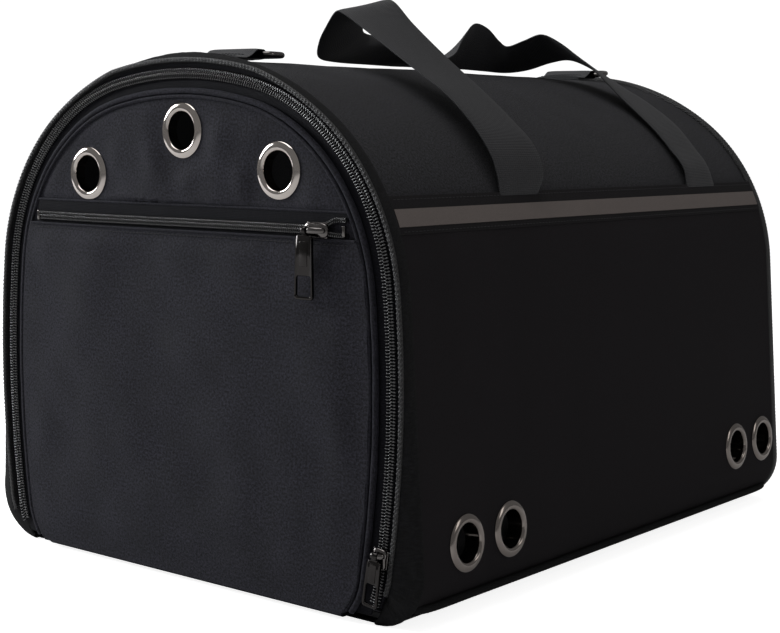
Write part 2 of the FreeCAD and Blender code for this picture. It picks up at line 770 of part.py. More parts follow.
def strap_over_roof(rise_at, rise_to, end_height):
    """A strap seen from the front: one arc from the hem to the top of the carrier, 2 mm thick."""
    start = pivot_point()
    end = Vector(dim("grip_place") - 1, end_height, 0)
    line = Part.Circle(start, Vector(rise_at, rise_to, 0), end)
    half = dim("webbing_thickness") / 2
    first, last = (math.atan2(p.y - line.Center.y, p.x - line.Center.x) for p in (start, end))
    outside = arc(line.Center, line.Radius + half, first, last)
    inside = arc(line.Center, line.Radius - half, first, last)
    return [
        outside,
        inside,
        join(outside.StartPoint, inside.StartPoint),
        join(outside.EndPoint, inside.EndPoint),
    ]


def make_right_handle():
    """The right handle lies over the roof, its grip standing on edge along the ridge."""
    body = new_body("handle_right")
    width = "Dims.webbing_width"
    place = dim("grip_place")
    grip = rectangle(place - 1, place + 1, dim("grip_bottom"), dim("grip_top"))
    pad_back(body, grip, "Dims.front_foot", "Dims.rear_foot - Dims.front_foot")
    front = strap_over_roof(100.0, 284.0, 333.6)
    pad_back(body, front, "Dims.front_foot - Dims.webbing_width / 2", width)
    rear = strap_over_roof(100.0, 277.0, 323.0)
    pad_back(body, rear, "Dims.rear_foot - Dims.webbing_width / 2", width)


def make_left_handle():
    """The left handle hangs down the left side as a flat U."""
    body = new_body("handle_left")
    outset = -dim("handle_standoff")
    half = dim("webbing_thickness") / 2
    bottom = 16.0
    pivot = pivot_point()
    top_angle = math.atan2(pivot.y - SHOULDER_CENTRE.y, pivot.x - SHOULDER_CENTRE.x)
    radius = dim("shoulder_radius")
    lines = []
    for inset in (outset - half, outset + half):
        shoulder = arc(SHOULDER_CENTRE, radius - inset, SIDE_LEAN, top_angle)
        foot = Vector(side_x(inset, bottom), bottom, 0)
        lines.append((shoulder, join(foot, shoulder.StartPoint)))
    (outer, outer_line), (inner, inner_line) = lines
    leg = [
        outer,
        outer_line,
        inner,
        inner_line,
        join(outer.EndPoint, inner.EndPoint),
        join(outer_line.StartPoint, inner_line.StartPoint),
    ]
    leg = [mirrored(curve) for curve in leg]
    for foot in ("Dims.front_foot", "Dims.rear_foot"):
        pad_back(body, leg, foot + " - Dims.webbing_width / 2", "Dims.webbing_width")
    top = bottom + dim("webbing_width")
    corners = [
        Vector(-side_x(outset - half, bottom), bottom, 0),
        Vector(-side_x(outset + half, bottom), bottom, 0),
        Vector(-side_x(outset + half, top), top, 0),
        Vector(-side_x(outset - half, top), top, 0),
    ]
    grip = [join(corners[i], corners[(i + 1) % 4]) for i in range(4)]
    pad_back(body, grip, "Dims.front_foot", "Dims.rear_foot - Dims.front_foot")


def tab_section(bar_y, bar_z):
    """A webbing loop seen from the side: it folds round the ring's bar and lies flat in front."""
    layer = dim("tab_layer")
    inner = dim("ring_wire") + 0.3
    outer = inner + layer
    front = bar_y - 20.0
    turn_out = arc(Vector(bar_y, bar_z, 0), outer, -math.pi / 2, math.pi / 2)
    turn_in = arc(Vector(bar_y, bar_z, 0), inner, -math.pi / 2, math.pi / 2)
    mouth = bar_y - 6.0
    floor = bar_z - outer
    nose_top = Vector(front, floor + 2 * layer, 0)
    nose_low = Vector(front, floor, 0)
    return [
        turn_out,
        turn_in,
        join(turn_out.EndPoint, Vector(mouth, bar_z + outer, 0)),
        join(Vector(mouth, bar_z + outer, 0), nose_top),
        join(nose_top, nose_low),
        join(nose_low, turn_out.StartPoint),
        join(turn_in.EndPoint, Vector(mouth + 0.5, bar_z + inner, 0)),
        join(Vector(mouth + 0.5, bar_z + inner, 0), Vector(mouth - 6.0, floor + layer, 0)),
        join(Vector(mouth - 6.0, floor + layer, 0), turn_in.StartPoint),
    ]


def ring_bar_height():
    roof = dim("arch_height") - dim("cover_inset") + 0.1
    return roof + dim("tab_layer") + dim("ring_wire") + 0.3


def make_tab(label, bar):
    body = new_body(label)
    curves = tab_section(dim(bar), ring_bar_height())
    pad(body, sketch(body, "YZ_Plane", curves, "-Dims.webbing_width / 2"), "Dims.webbing_width")


def make_ring(label, bar, tilt):
    """A D-shaped wire ring: a straight bar under the webbing and a rounded bow."""
    body = new_body(label)
    wide, reach = dim("ring_half_width"), dim("ring_reach")
    small, large = 3.2, 11.0
    bow = [
        join(Vector(-wide + small, 0, 0), Vector(wide - small, 0, 0)),
        arc(Vector(wide - small, small, 0), small, -math.pi / 2, 0),
        join(Vector(wide, small, 0), Vector(wide, reach - large, 0)),
        arc(Vector(wide - large, reach - large, 0), large, 0, math.pi / 2),
        join(Vector(wide - large, reach, 0), Vector(-wide + large, reach, 0)),
        arc(Vector(-wide + large, reach - large, 0), large, math.pi / 2, math.pi),
        join(Vector(-wide, reach - large, 0), Vector(-wide, small, 0)),
        arc(Vector(-wide + small, small, 0), small, math.pi, 1.5 * math.pi),
    ]
    path = sketch(body, "XY_Plane", bow)
    section = sketch(body, "YZ_Plane", [circle(0, 0, dim("ring_wire"))])
    wire = body.newObject("PartDesign::AdditivePipe", label + "_pipe")
    wire.Profile = section
    wire.Spine = (path, [])
    body.Placement = Placement(
        Vector(0, dim(bar), ring_bar_height()), Rotation(Vector(1, 0, 0), tilt)
    )


def make_hinge_tape():
    """The fabric seam that joins the door's bottom edge to the base."""
    reach = corner_centre(0, RIM_CORNER).x
    strip = rectangle(-reach, reach, 0.0, dim("hinge_tape_height"))
    section_body("door_hinge_tape", strip, "Dims.zip_plane", "Dims.hinge_tape_depth")


# ---------------------------------------------------------------- build, check and write


def check(objects):
    """Every object has to be healthy, and every piece a valid solid or group of solids."""
    for item in doc.Objects:
        if "Invalid" in item.State or "Error" in item.State:
            raise RuntimeError("%s failed: %s" % (item.Label, item.State))
    for item in objects:
        shape = item.Shape
        if shape.isNull() or not shape.isValid() or not shape.Solids:
            raise RuntimeError("%s has no valid solid" % item.Label)
        if item.TypeId == "PartDesign::Body" and len(shape.Solids) != 1:
            raise RuntimeError("%s is in %d pieces" % (item.Label, len(shape.Solids)))


def main():
    make_tunnel()
    make_bindings()
    for side, name in ((RIGHT, "right"), (LEFT, "left")):
        make_side(side, name)
        make_anchors(side, name)
    make_base()
    make_rear()
    make_hinge_tape()
    make_frame_zip()
    make_door()
    make_pocket_zip()
    make_stops()
    make_eyelets()
    make_sliders()
    make_right_handle()
    make_left_handle()
    make_tab("tab_front", "front_ring_bar")
    make_tab("tab_rear", "rear_ring_bar")
    make_ring("ring_front", "front_ring_bar", 0.0)
    make_ring("ring_rear", "rear_ring_bar", dim("rear_ring_tilt"))
    doc.recompute()

    pieces = [item for item in doc.Objects if item.TypeId in ("PartDesign::Body", "Part::Feature")]
    check(pieces)
    os.makedirs("parts", exist_ok=True)
    for piece in pieces:
        piece.Shape.exportStep("parts/%s.step" % piece.Label)
    total = sum(piece.Shape.Volume for piece in pieces)
    print("%d pieces, %.0f cm3 of material" % (len(pieces), total / 1000))


main()
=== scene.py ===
"""Looks of the soft pet carrier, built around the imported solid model.

Shapes are worked out in millimetres and written to the meshes in metres. +Z is up, +Y runs from
the door to the rear and +X is the carrier's right side, as in the solid model.
"""
import math

import bmesh
import bpy
import numpy as np
from mathutils import Matrix, Vector, noise


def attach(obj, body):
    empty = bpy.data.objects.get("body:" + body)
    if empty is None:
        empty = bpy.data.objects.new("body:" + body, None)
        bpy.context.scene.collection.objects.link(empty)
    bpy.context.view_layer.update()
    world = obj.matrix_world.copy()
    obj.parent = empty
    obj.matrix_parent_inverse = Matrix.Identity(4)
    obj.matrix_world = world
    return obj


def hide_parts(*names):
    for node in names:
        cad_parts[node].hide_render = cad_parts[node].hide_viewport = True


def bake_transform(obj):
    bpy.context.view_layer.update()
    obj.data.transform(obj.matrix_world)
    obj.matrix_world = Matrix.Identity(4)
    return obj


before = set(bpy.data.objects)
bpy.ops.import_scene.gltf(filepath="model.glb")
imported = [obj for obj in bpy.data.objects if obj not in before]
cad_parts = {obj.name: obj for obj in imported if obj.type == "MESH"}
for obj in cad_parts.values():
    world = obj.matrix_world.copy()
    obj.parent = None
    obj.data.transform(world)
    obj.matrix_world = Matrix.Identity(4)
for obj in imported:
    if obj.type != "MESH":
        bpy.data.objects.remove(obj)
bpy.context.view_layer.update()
MM = 0.001


def unit(angle):
    return np.array((math.cos(angle), math.sin(angle)))


# ---------------------------------------------------------------- the tunnel's section
CROWN_ANGLE = math.radians(35.0)
LEAN = math.radians(4.5)
CROWN_RADIUS, SHOULDER_RADIUS = 179.0, 129.0
CROWN = np.array((0.0, 300.0 - CROWN_RADIUS))
SHOULDER_WAY = np.array((math.sin(CROWN_ANGLE), math.cos(CROWN_ANGLE)))
SHOULDER = CROWN + (CROWN_RADIUS - SHOULDER_RADIUS) * SHOULDER_WAY
SIDE_NORMAL = unit(LEAN)
SIDE_DISTANCE = SIDE_NORMAL @ SHOULDER + SHOULDER_RADIUS
# lower corners, as (radius on the outer skin, height of the centre)
RIM, WINDOW = (30.0, 30.0), (60.0, 46.0)

# ---------------------------------------------------------------- the door zip's own section
# tangent arcs on the chain's centre line; the zip and the door are counted inwards from it
ZIP_CROWN, ZIP_SHOULDER, ZIP_SIDE, ZIP_CORNER = 250.0, 120.5, 600.0, 50.0
ZIP_TOP, ZIP_FOOT = math.radians(6.0), math.radians(-8.8)
ZIP_SIDE_AT = np.array((151.0 - ZIP_SIDE, 115.0))
ZIP_SHOULDER_AT = ZIP_SIDE_AT + (ZIP_SIDE - ZIP_SHOULDER) * unit(ZIP_TOP)
ZIP_CORNER_AT = ZIP_SIDE_AT + (ZIP_SIDE - ZIP_CORNER) * unit(ZIP_FOOT)
ZIP_START = math.acos(ZIP_SHOULDER_AT[0] / (ZIP_CROWN - ZIP_SHOULDER))
ZIP_CROWN_AT = ZIP_SHOULDER_AT + (ZIP_SHOULDER - ZIP_CROWN) * unit(ZIP_START)

# ---------------------------------------------------------------- sizes and places
RIGHT, LEFT = 1, -1
SIDES = ((RIGHT, "right"), (LEFT, "left"))
HALF_SHELL = 204.0
# layers as (outer, inner) insets from the tunnel's outer skin
COVER_SKIN, LINING_SKIN, SIDE_SKIN, HEM_SKIN = (2.8, 7.6), (7.8, 8.6), (0.7, 1.4), (0.3, 1.4)
STRIP_SKIN, TAIL_SKIN = (0.0, 0.4), (1.5, 2.7)
SEAM_Z, SIDE_TOP, HEM_FOOT, HEM_TOP = 8.0, 206.5, 205.5, 225.0
STRIP_FOOT, STRIP_TOP, TAIL_FOOT, TAIL_TOP = 209.5, 218.5, 173.0, 224.0
HEM_STITCH_LINES = (207.0, 223.2)
HANDLE_FEET, HALF_STRAP = (-85.0, 132.0), 19.0
SIDE_EYELETS = ((-165.0, 41.0), (-124.0, 41.0), (148.0, 47.0), (187.0, 47.0))
DOOR_EYELETS = ((-78.0, 231.0), (0.5, 257.0), (73.5, 236.5))
EYELET_HOLE = 12.0
# faces of the front, counted along Y, and heights on the door
ZIP_FACE, PANEL_FACE, RIDGE_FACE = -210.0, -212.4, -212.4
POCKET_TAPE_FACE, POCKET_FACE = -213.15, -214.1
DOOR_INSET, RIDGE_OUT, DOOR_FOOT = 12.9, 7.6, 3.6
POCKET_TOP, POCKET_LINE, FLAP_Z = 201.9, 206.5, 216.2
POCKET_SLIDER_X, POCKET_SLIDER_FACE = 103.7, -215.2
STOPS_X, STOPS_FACE = 121.1, -214.2
HALF_POCKET_TAPE = 123.0
DOOR_SLIDER_Z, DOOR_SLIDER_FACE = 38.4, -212.2
PULL_STANDOFF = 5.1
HALF_HINGE = 118.5
NET_FACE, NET_OVER = 205.5, 0.22
REAR_PAD_FACE, REAR_TAPE_FACE, REAR_RIM_Y = 207.2, 207.4, 207.5
WASHER_FACE, SIDE_WASHER_DEPTH = -206.8, 8.5
RING_BAR_Z, FRONT_BAR_Y, REAR_BAR_Y = 300.55, -166.2, 191.8
# the roof's curve across the tabs falls by x * x over this
RIDGE_FALL = 354.0
DOOR_OUT = (0.0, -1.0, 0.0)


def polar(centre, radius, start, end, count):
    angle = np.linspace(start, end, count)
    return np.stack([centre[0] + radius * np.cos(angle), centre[1] + radius * np.sin(angle)], 1)


def between(a, b, count):
    """Points on a straight line between two section points, without its ends."""
    share = np.linspace(0, 1, count)[1:-1, None]
    return a * (1 - share) + b * share


def mirrored(right, crown):
    """A whole section from its right half and its crown."""
    return np.concatenate([right, crown[1:-1], right[::-1] * (-1, 1)])


def flank(inset, corner, low, top=None):
    """Points (x, z) up the right side: corner arc, leaning side and shoulder arc."""
    if low > 100.0:
        z = np.linspace(low, top, 60)
        return np.stack([[skin_x(inset, a) for a in z], z], 1)
    radius = corner[0] - inset
    centre_x = (SIDE_DISTANCE - corner[0] - SIDE_NORMAL[1] * corner[1]) / SIDE_NORMAL[0]
    centre = np.array((centre_x, corner[1]))
    shoulder = SHOULDER_RADIUS - inset
    end = math.pi / 2 - CROWN_ANGLE if top is None else math.asin((top - SHOULDER[1]) / shoulder)
    start = math.asin(max(-1.0, (low - centre[1]) / radius))
    foot = polar(centre, radius, start, LEAN, 26)
    arc = polar(SHOULDER, shoulder, LEAN, end, 44)
    return np.concatenate([foot, between(foot[-1], arc[0], 44), arc])


def arch(inset, corner, low):
    """The whole arch, from the right foot over the crown to the left foot."""
    crown = polar(CROWN, CROWN_RADIUS - inset, math.pi / 2 - CROWN_ANGLE, math.pi / 2 + CROWN_ANGLE, 70)
    return mirrored(flank(inset, corner, low), crown)


def closed(path):
    """An arched path with its straight bottom edge, as a loop that doesn't repeat its first point."""
    return np.concatenate([path, between(path[-1], path[0], 60)])


def closed_arch(inset, corner, low):
    return closed(arch(inset, corner, low))


def zip_flank(inset, low, top=None):
    """Points (x, z) up the right side of the zip's section."""
    start = math.asin(max(-1.0, (low - ZIP_CORNER_AT[1]) / (ZIP_CORNER - inset)))
    end = ZIP_START if top is None else math.asin((top - ZIP_SHOULDER_AT[1]) / (ZIP_SHOULDER - inset))
    return np.concatenate([
        polar(ZIP_CORNER_AT, ZIP_CORNER - inset, start, ZIP_FOOT, 26),
        polar(ZIP_SIDE_AT, ZIP_SIDE - inset, ZIP_FOOT, ZIP_TOP, 44)[1:-1],
        polar(ZIP_SHOULDER_AT, ZIP_SHOULDER - inset, ZIP_TOP, end, 44),
    ])


def zip_arch(inset, low):
    """The whole zip section, from the right foot over the crown to the left foot."""
    crown = polar(ZIP_CROWN_AT, ZIP_CROWN - inset, ZIP_START, math.pi - ZIP_START, 70)
    return mirrored(zip_flank(inset, low), crown)


def zip_half(inset, z):
    """Half the width inside the zip's section at a height above its corner."""
    z = np.asarray(z, float)
    side = ZIP_SIDE_AT[0] + np.sqrt((ZIP_SIDE - inset) ** 2 - (z - ZIP_SIDE_AT[1]) ** 2)
    radius = ZIP_SHOULDER - inset
    shoulder = ZIP_SHOULDER_AT[0] + np.sqrt(np.maximum(0.0, radius**2 - (z - ZIP_SHOULDER_AT[1]) ** 2))
    return np.where(z > ZIP_SHOULDER_AT[1] + radius * math.sin(ZIP_TOP), shoulder, side)


def zip_depth(x, z):
    """How far a point lies inside the chain's centre line; negative outside it."""
    x = np.abs(x)
    depth = ZIP_SIDE - np.hypot(x - ZIP_SIDE_AT[0], z - ZIP_SIDE_AT[1])
    above = z - ZIP_SIDE_AT[1] > math.tan(ZIP_TOP) * (x - ZIP_SIDE_AT[0])
    depth = np.where(above, ZIP_SHOULDER - np.hypot(x - ZIP_SHOULDER_AT[0], z - ZIP_SHOULDER_AT[1]), depth)
    crown = (z > ZIP_CROWN_AT[1]) & (x < (z - ZIP_CROWN_AT[1]) / math.tan(ZIP_START))
    depth = np.where(crown, ZIP_CROWN - np.hypot(x, z - ZIP_CROWN_AT[1]), depth)
    drop = np.clip((z - ZIP_CORNER_AT[1]) / ZIP_CORNER, -0.999, 0.999)
    slope = np.sqrt(1 - drop**2)
    foot = (ZIP_CORNER_AT[0] + ZIP_CORNER * slope - x) * slope
    below = z - ZIP_SIDE_AT[1] < math.tan(ZIP_FOOT) * (x - ZIP_SIDE_AT[0])
    return np.where(below, foot, depth)


def gap_to_zip(points, inwards, inset=0.0):
    """How far it is from section points to the chain's centre line, along given directions."""
    gap = np.zeros(len(points))
    for _ in range(24):
        at = points + inwards * gap[:, None]
        gap = gap - 0.8 * (zip_depth(at[:, 0], at[:, 1]) - inset)
    return np.clip(gap, 1.5, 40.0)


def run_length(points):
    """The distance along a path at each of its points."""
    return np.concatenate([[0], np.cumsum(np.linalg.norm(np.diff(points, axis=0), axis=1))])


def read_along(s, along, rows):
    """Rows of numbers given along a path, read at other distances."""
    return np.stack([np.interp(s, along, rows[:, k]) for k in range(rows.shape[1])], -1)


def resample(path, step):
    """Evenly spaced points along a path, with unit tangents and the distance along it."""
    path = np.asarray(path, float)
    along = run_length(path)
    count = max(2, int(round(along[-1] / step)) + 1)
    s = np.linspace(0, along[-1], count)
    points = read_along(s, along, path)
    tangent = np.gradient(points, axis=0)
    tangent /= np.linalg.norm(tangent, axis=1)[:, None]
    return points, tangent, s


def outward(tangent):
    return np.stack([tangent[:, 1], -tangent[:, 0]], 1)


def skin_x(inset, z):
    """How far out the right side's skin stands at a height above the bottom corner."""
    radius = SHOULDER_RADIUS - inset
    if z <= SHOULDER[1] + radius * SIDE_NORMAL[1]:
        return (SIDE_DISTANCE - inset - SIDE_NORMAL[1] * z) / SIDE_NORMAL[0]
    return SHOULDER[0] + math.sqrt(radius**2 - (z - SHOULDER[1]) ** 2)


def smooth(t):
    t = np.clip(t, 0.0, 1.0)
    return t * t * (3 - 2 * t)


def ripple(x, y, size, seed=0.0):
    """Smooth noise from -1 to 1 over two coordinates in millimetres."""
    flat = np.stack([np.ravel(x) / size, np.ravel(y) / size], 1)
    values = [noise.noise(Vector((a, b, seed))) for a, b in flat]
    return np.array(values).reshape(np.shape(x))


# ---------------------------------------------------------------- mesh makers
def add_object(name, data):
    made = bpy.data.objects.new(name, data)
    bpy.context.scene.collection.objects.link(made)
    return made


def set_weave(data, uv):
    """Flat cloth coordinates in millimetres, one pair for each face corner."""
    data.uv_layers.new(name="weave").data.foreach_set("uv", np.asarray(uv, np.float32).ravel())


def set_material(made, material):
    made.data.materials.clear()
    made.data.materials.append(material)


def new_object(name, vertices, faces, uv=None):
    """A smooth mesh object. vertices are in millimetres, uv is one pair for each face corner."""
    data = bpy.data.meshes.new(name)
    data.from_pydata((np.asarray(vertices, float) * MM).tolist(), [], faces)
    if uv is not None:
        set_weave(data, uv)
    work = bmesh.new()
    work.from_mesh(data)
    bmesh.ops.recalc_face_normals(work, faces=work.faces)
    work.to_mesh(data)
    work.free()
    data.polygons.foreach_set("use_smooth", [True] * len(data.polygons))
    return add_object(name, data)


def finish_piece(made, material, body, nodes=(), sharp=40.0):
    """Material, sharp edges, body and the solid nodes that the piece stands for."""
    set_material(made, material)
    made.data.set_sharp_from_angle(angle=math.radians(sharp))
    if body is not None:
        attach(made, body)
    if nodes:
        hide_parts(*nodes)
    return made


def ring_round(centre, first, second, radius, sides):
    """Points round a centre, along two directions."""
    turn = 2 * math.pi * np.arange(sides) / sides
    return [centre + (first * math.cos(a) + second * math.sin(a)) * radius for a in turn]


def add_rings(vertices, faces, rings):
    """Adds a closed skin through equal rings of points, with its two ends."""
    first, around = len(vertices), len(rings[0])
    for ring in rings:
        vertices.extend(ring)
    last = first + around * (len(rings) - 1)
    for low in range(first, last, around):
        for j in range(around):
            k = (j + 1) % around
            faces.append((low + j, low + k, low + around + k, low + around + j))
    for end in (first, last):
        faces.append(tuple(range(end, end + around)))


def tube(name, rings, u, v=None):
    """A closed cross-section carried along a path. rings is (stations, points round, 3)."""
    stations, around = rings.shape[:2]
    if v is None:
        gaps = np.linalg.norm(np.roll(rings[0], -1, 0) - rings[0], axis=1)
        v = np.concatenate([[0], np.cumsum(gaps)])
    faces, uv = [], []
    for i in range(stations - 1):
        for j in range(around):
            k = (j + 1) % around
            faces.append((i * around + j, i * around + k, (i + 1) * around + k, (i + 1) * around + j))
            uv += [(u[i], v[j]), (u[i], v[j + 1]), (u[i + 1], v[j + 1]), (u[i + 1], v[j])]
    for i in (0, stations - 1):
        faces.append(tuple(range(i * around, (i + 1) * around)))
        uv += [(u[i], v[j]) for j in range(around)]
    return new_object(name, rings.reshape(-1, 3), faces, uv)


def slab(name, front, back, u, v, closed=False, holes=(), hole_radius=EYELET_HOLE, cap=False):
    """A sheet between two matching grids of points, with rims along its edges and round its holes.

    u and v are the sheet's own flat coordinates in millimetres, one pair for each grid point.
    """
    rows, columns = front.shape[:2]
    front, back = front.copy().reshape(-1, 3), back.copy().reshape(-1, 3)
    flat = np.stack([np.broadcast_to(a, (rows, columns)).ravel() for a in (u, v)], 1)
    quads = []
    for i in range(rows if closed else rows - 1):
        n = (i + 1) % rows
        for j in range(columns - 1):
            quads.append((i * columns + j, i * columns + j + 1, n * columns + j + 1, n * columns + j))
    quads = np.array(quads)
    centres = front[quads].mean(1)
    keep = np.ones(len(quads), bool)
    for centre, _ in holes:
        keep &= np.linalg.norm(centres - centre, axis=1) > hole_radius + 1.2
    quads = [tuple(q) for q in quads[keep].tolist()]
    used = {}
    for q in quads:
        for a, b in zip(q, q[1:] + q[:1]):
            used[(a, b)] = True
    rim = [(a, b) for a, b in used if (b, a) not in used]
    middle = [i * columns + columns - 1 for i in range(rows)]
    if cap:
        rim = [pair for pair in rim if pair[0] % columns != columns - 1 or pair[1] % columns != columns - 1]
    edge = sorted({a for pair in rim for a in pair})
    for centre, axis in holes:
        for layer in (front, back):
            for index in edge:
                offset = layer[index] - centre
                depth = offset @ axis
                flat_part = offset - depth * axis
                reach = np.linalg.norm(flat_part)
                if reach < hole_radius + 4.6 and abs(depth) < 14.0:
                    layer[index] = centre + depth * axis + flat_part / reach * hole_radius
    count = len(front)
    faces, uv = [], []
    for q in quads:
        faces.append(q)
        uv += [flat[k] for k in q]
        faces.append(tuple(k + count for k in q[::-1]))
        uv += [flat[k] for k in q[::-1]]
    for a, b in rim:
        faces.append((b, a, a + count, b + count))
        uv += [flat[b], flat[a], flat[a], flat[b]]
    if cap:
        faces += [tuple(middle), tuple(k + count for k in middle[::-1])]
        uv += [flat[k] for k in middle] + [flat[k] for k in middle[::-1]]
    made = new_object(name, np.concatenate([front, back]), faces, uv)
    work = bmesh.new()
    work.from_mesh(made.data)
    bmesh.ops.delete(work, geom=[p for p in work.verts if not p.link_faces], context="VERTS")
    work.to_mesh(made.data)
    work.free()
    return made


def band(name, outer, inner, across, front, thickness, closed=False, lift=None):
    """A flat strip between two matching section paths, facing the front."""
    share = np.linspace(0, 1, across)
    grid = outer[:, None] * (1 - share[None, :, None]) + inner[:, None] * share[None, :, None]
    along = run_length(outer)
    width = np.linalg.norm(outer - inner, axis=1).mean()
    y = np.full(grid.shape[:2], float(front))
    if lift is not None:
        y = y + lift(grid[..., 0], grid[..., 1], share[None, :])
    face = np.stack([grid[..., 0], y, grid[..., 1]], -1)
    back = face.copy()
    back[..., 1] = front + thickness
    return slab(name, face, back, along[:, None], share[None, :] * width, closed)


def fan_panel(name, outline, centre, rings, front, thickness, holes=()):
    """A panel filled from its outline towards a point inside it. front gives y over (x, z)."""
    share = np.linspace(1, 0.012, rings)
    grid = np.asarray(centre) + share[None, :, None] * (outline[:, None] - np.asarray(centre))
    x, z = grid[..., 0], grid[..., 1]
    y = front(x, z)
    face = np.stack([x, y, z], -1)
    back = face.copy()
    back[..., 1] = thickness(y) if callable(thickness) else y + thickness
    return slab(name, face, back, x, z, True, holes, cap=True)


def lengthwise(path, normal, y, depth, side=RIGHT):
    """A grid over section points and places along the carrier, pushed outwards by depth."""
    grid = np.zeros((len(path), len(y), 3))
    grid[..., 0] = side * (path[:, None, 0] + normal[:, None, 0] * depth)
    grid[..., 1] = y[None]
    grid[..., 2] = path[:, None, 1] + normal[:, None, 1] * depth
    return grid


def skin_slab(name, section, skin, y, step, relief=None, side=RIGHT, holes=()):
    """A sheet along the carrier that follows a section, between two insets."""
    path, tangent, s = resample(section, step)
    normal = outward(tangent)
    over_s, over_y = np.meshgrid(s, y, indexing="ij")
    shift = relief(over_s, over_y) if relief else 0 * over_s
    front = lengthwise(path, normal, y, shift, side)
    back = lengthwise(path, normal, y, 0 * shift - (skin[1] - skin[0]), side)
    return slab(name, front, back, y[None], s[:, None], False, holes)


def side_slab(name, side, skin, low, high, y0, y1, steps, relief=None, holes=()):
    """A sheet on one long side, between two heights."""
    y = np.linspace(y0, y1, max(2, int((y1 - y0) / steps[1]) + 1))
    return skin_slab(name, flank(skin[0], RIM, low, high), skin, y, steps[0], relief, side, holes)


def side_axis(side):
    return np.array((side * SIDE_NORMAL[0], 0.0, SIDE_NORMAL[1]))


def side_places(side, inset):
    return [np.array((side * skin_x(inset, z), y, z)) for y, z in SIDE_EYELETS]


def side_holes(side):
    return [(place, side_axis(side)) for place in side_places(side, SIDE_SKIN[0])]


def door_holes():
    return [(np.array((x, PANEL_FACE, z)), np.array(DOOR_OUT)) for x, z in DOOR_EYELETS]


def rounded_section(half_a, half_b, power, count):
    """A rounded rectangle as offsets along two directions."""
    angle = np.linspace(0, 2 * math.pi, count, endpoint=False)
    c, s = np.cos(angle), np.sin(angle)
    a = half_a * np.sign(c) * np.abs(c) ** (2 / power)
    b = half_b * np.sign(s) * np.abs(s) ** (2 / power)
    return a, b, angle


def arch_rope(name, section, y, half_in, half_y, power, step, count, relief=None):
    """A rounded cord or folded tape swept along a section path."""
    path, tangent, s = resample(section, step)
    normal = outward(tangent)
    a, b, angle = rounded_section(half_in, half_y, power, count)
    grow = 1.0 + (relief(s[:, None], angle[None]) if relief else np.zeros((len(s), count)))
    rings = np.zeros((len(s), count, 3))
    rings[..., 0] = path[:, None, 0] + normal[:, None, 0] * a[None] * grow
    rings[..., 1] = y + b[None] * grow
    rings[..., 2] = path[:, None, 1] + normal[:, None, 1] * a[None] * grow
    return tube(name, rings, s)


def rope(name, points, radius, count=8, relief=None):
    """A round cord through points in space."""
    path, tangent, s = resample(np.asarray(points, float), 1.5)
    rings = np.zeros((len(s), count, 3))
    side = np.cross(tangent, (0.0, 0.0, 1.0))
    flat = np.linalg.norm(side, axis=1) < 0.2
    side[flat] = np.cross(tangent[flat], (0.0, 1.0, 0.0))
    side /= np.linalg.norm(side, axis=1)[:, None]
    up = np.cross(side, tangent)
    for j in range(count):
        angle = 2 * math.pi * j / count
        grow = radius * (1.0 + (relief(s, angle) if relief else 0.0 * s))
        rings[:, j] = path + (side * math.cos(angle) + up * math.sin(angle)) * np.reshape(grow, (-1, 1))
    return tube(name, rings, s)


def spline(points, count):
    """Points along a smooth curve through the given ones."""
    points = np.asarray(points, float)
    gaps = np.linalg.norm(np.diff(points, axis=0), axis=1) ** 0.5
    knots = np.concatenate([[0], np.cumsum(gaps)])
    slope = np.zeros_like(points)
    slope[1:-1] = (points[2:] - points[:-2]) / (knots[2:] - knots[:-2])[:, None]
    slope[0] = (points[1] - points[0]) / (knots[1] - knots[0])
    slope[-1] = (points[-1] - points[-2]) / (knots[-1] - knots[-2])
    at = np.linspace(0, knots[-1], count)
    index = np.clip(np.searchsorted(knots, at, side="right") - 1, 0, len(knots) - 2)
    h = (knots[index + 1] - knots[index])[:, None]
    t = ((at - knots[index]) / h[:, 0])[:, None]
    return (
        (2 * t**3 - 3 * t**2 + 1) * points[index]
        + (t**3 - 2 * t**2 + t) * h * slope[index]
        + (-2 * t**3 + 3 * t**2) * points[index + 1]
        + (t**3 - t**2) * h * slope[index + 1]
    )


def ribbon(name, first, second, thickness, count, across=11, bow=0.0, shape=None):
    """Flat webbing between two edges, with rounded selvedges."""
    a, b = spline(first, count), spline(second, count)
    middle = (a + b) / 2
    u = run_length(middle)
    along = np.gradient(middle, axis=0)
    wide = b - a
    normal = np.cross(along, wide)
    normal /= np.linalg.norm(normal, axis=1)[:, None]
    width = np.linalg.norm(wide, axis=1).mean()
    share = np.linspace(0, 1, across)
    edge = np.sqrt(np.clip(1 - np.abs(2 * share - 1) ** 8, 0.12, 1))
    rings = np.zeros((count, 2 * across, 3))
    for j in range(across):
        base = a + wide * share[j] + normal * bow * (1 - (2 * share[j] - 1) ** 2)
        half = normal * thickness / 2 * edge[j]
        rings[:, j] = base + half
        rings[:, 2 * across - 1 - j] = base - half
    if shape is not None:
        rings = shape(rings)
    v = np.concatenate([share * width, share[::-1] * width, [0]])
    return tube(name, rings, u, v)


THREAD_SWELL = (0.45, 1.0, 1.0, 0.45)


def short_threads(name, pairs, radius):
    """Separate short threads between pairs of points, fatter in the middle."""
    vertices, faces = [], []
    for a, b in pairs:
        a, b = np.array(a, float), np.array(b, float)
        direction = (b - a) / np.linalg.norm(b - a)
        side = np.cross(direction, (0.0, 1.0, 0.0))
        side /= np.linalg.norm(side)
        up = np.cross(side, direction)
        add_rings(vertices, faces, [
            ring_round(a + (b - a) * share, side, up, radius * swell, 5)
            for share, swell in zip((0.0, 0.3, 0.7, 1.0), THREAD_SWELL)
        ])
    return new_object(name, vertices, faces)


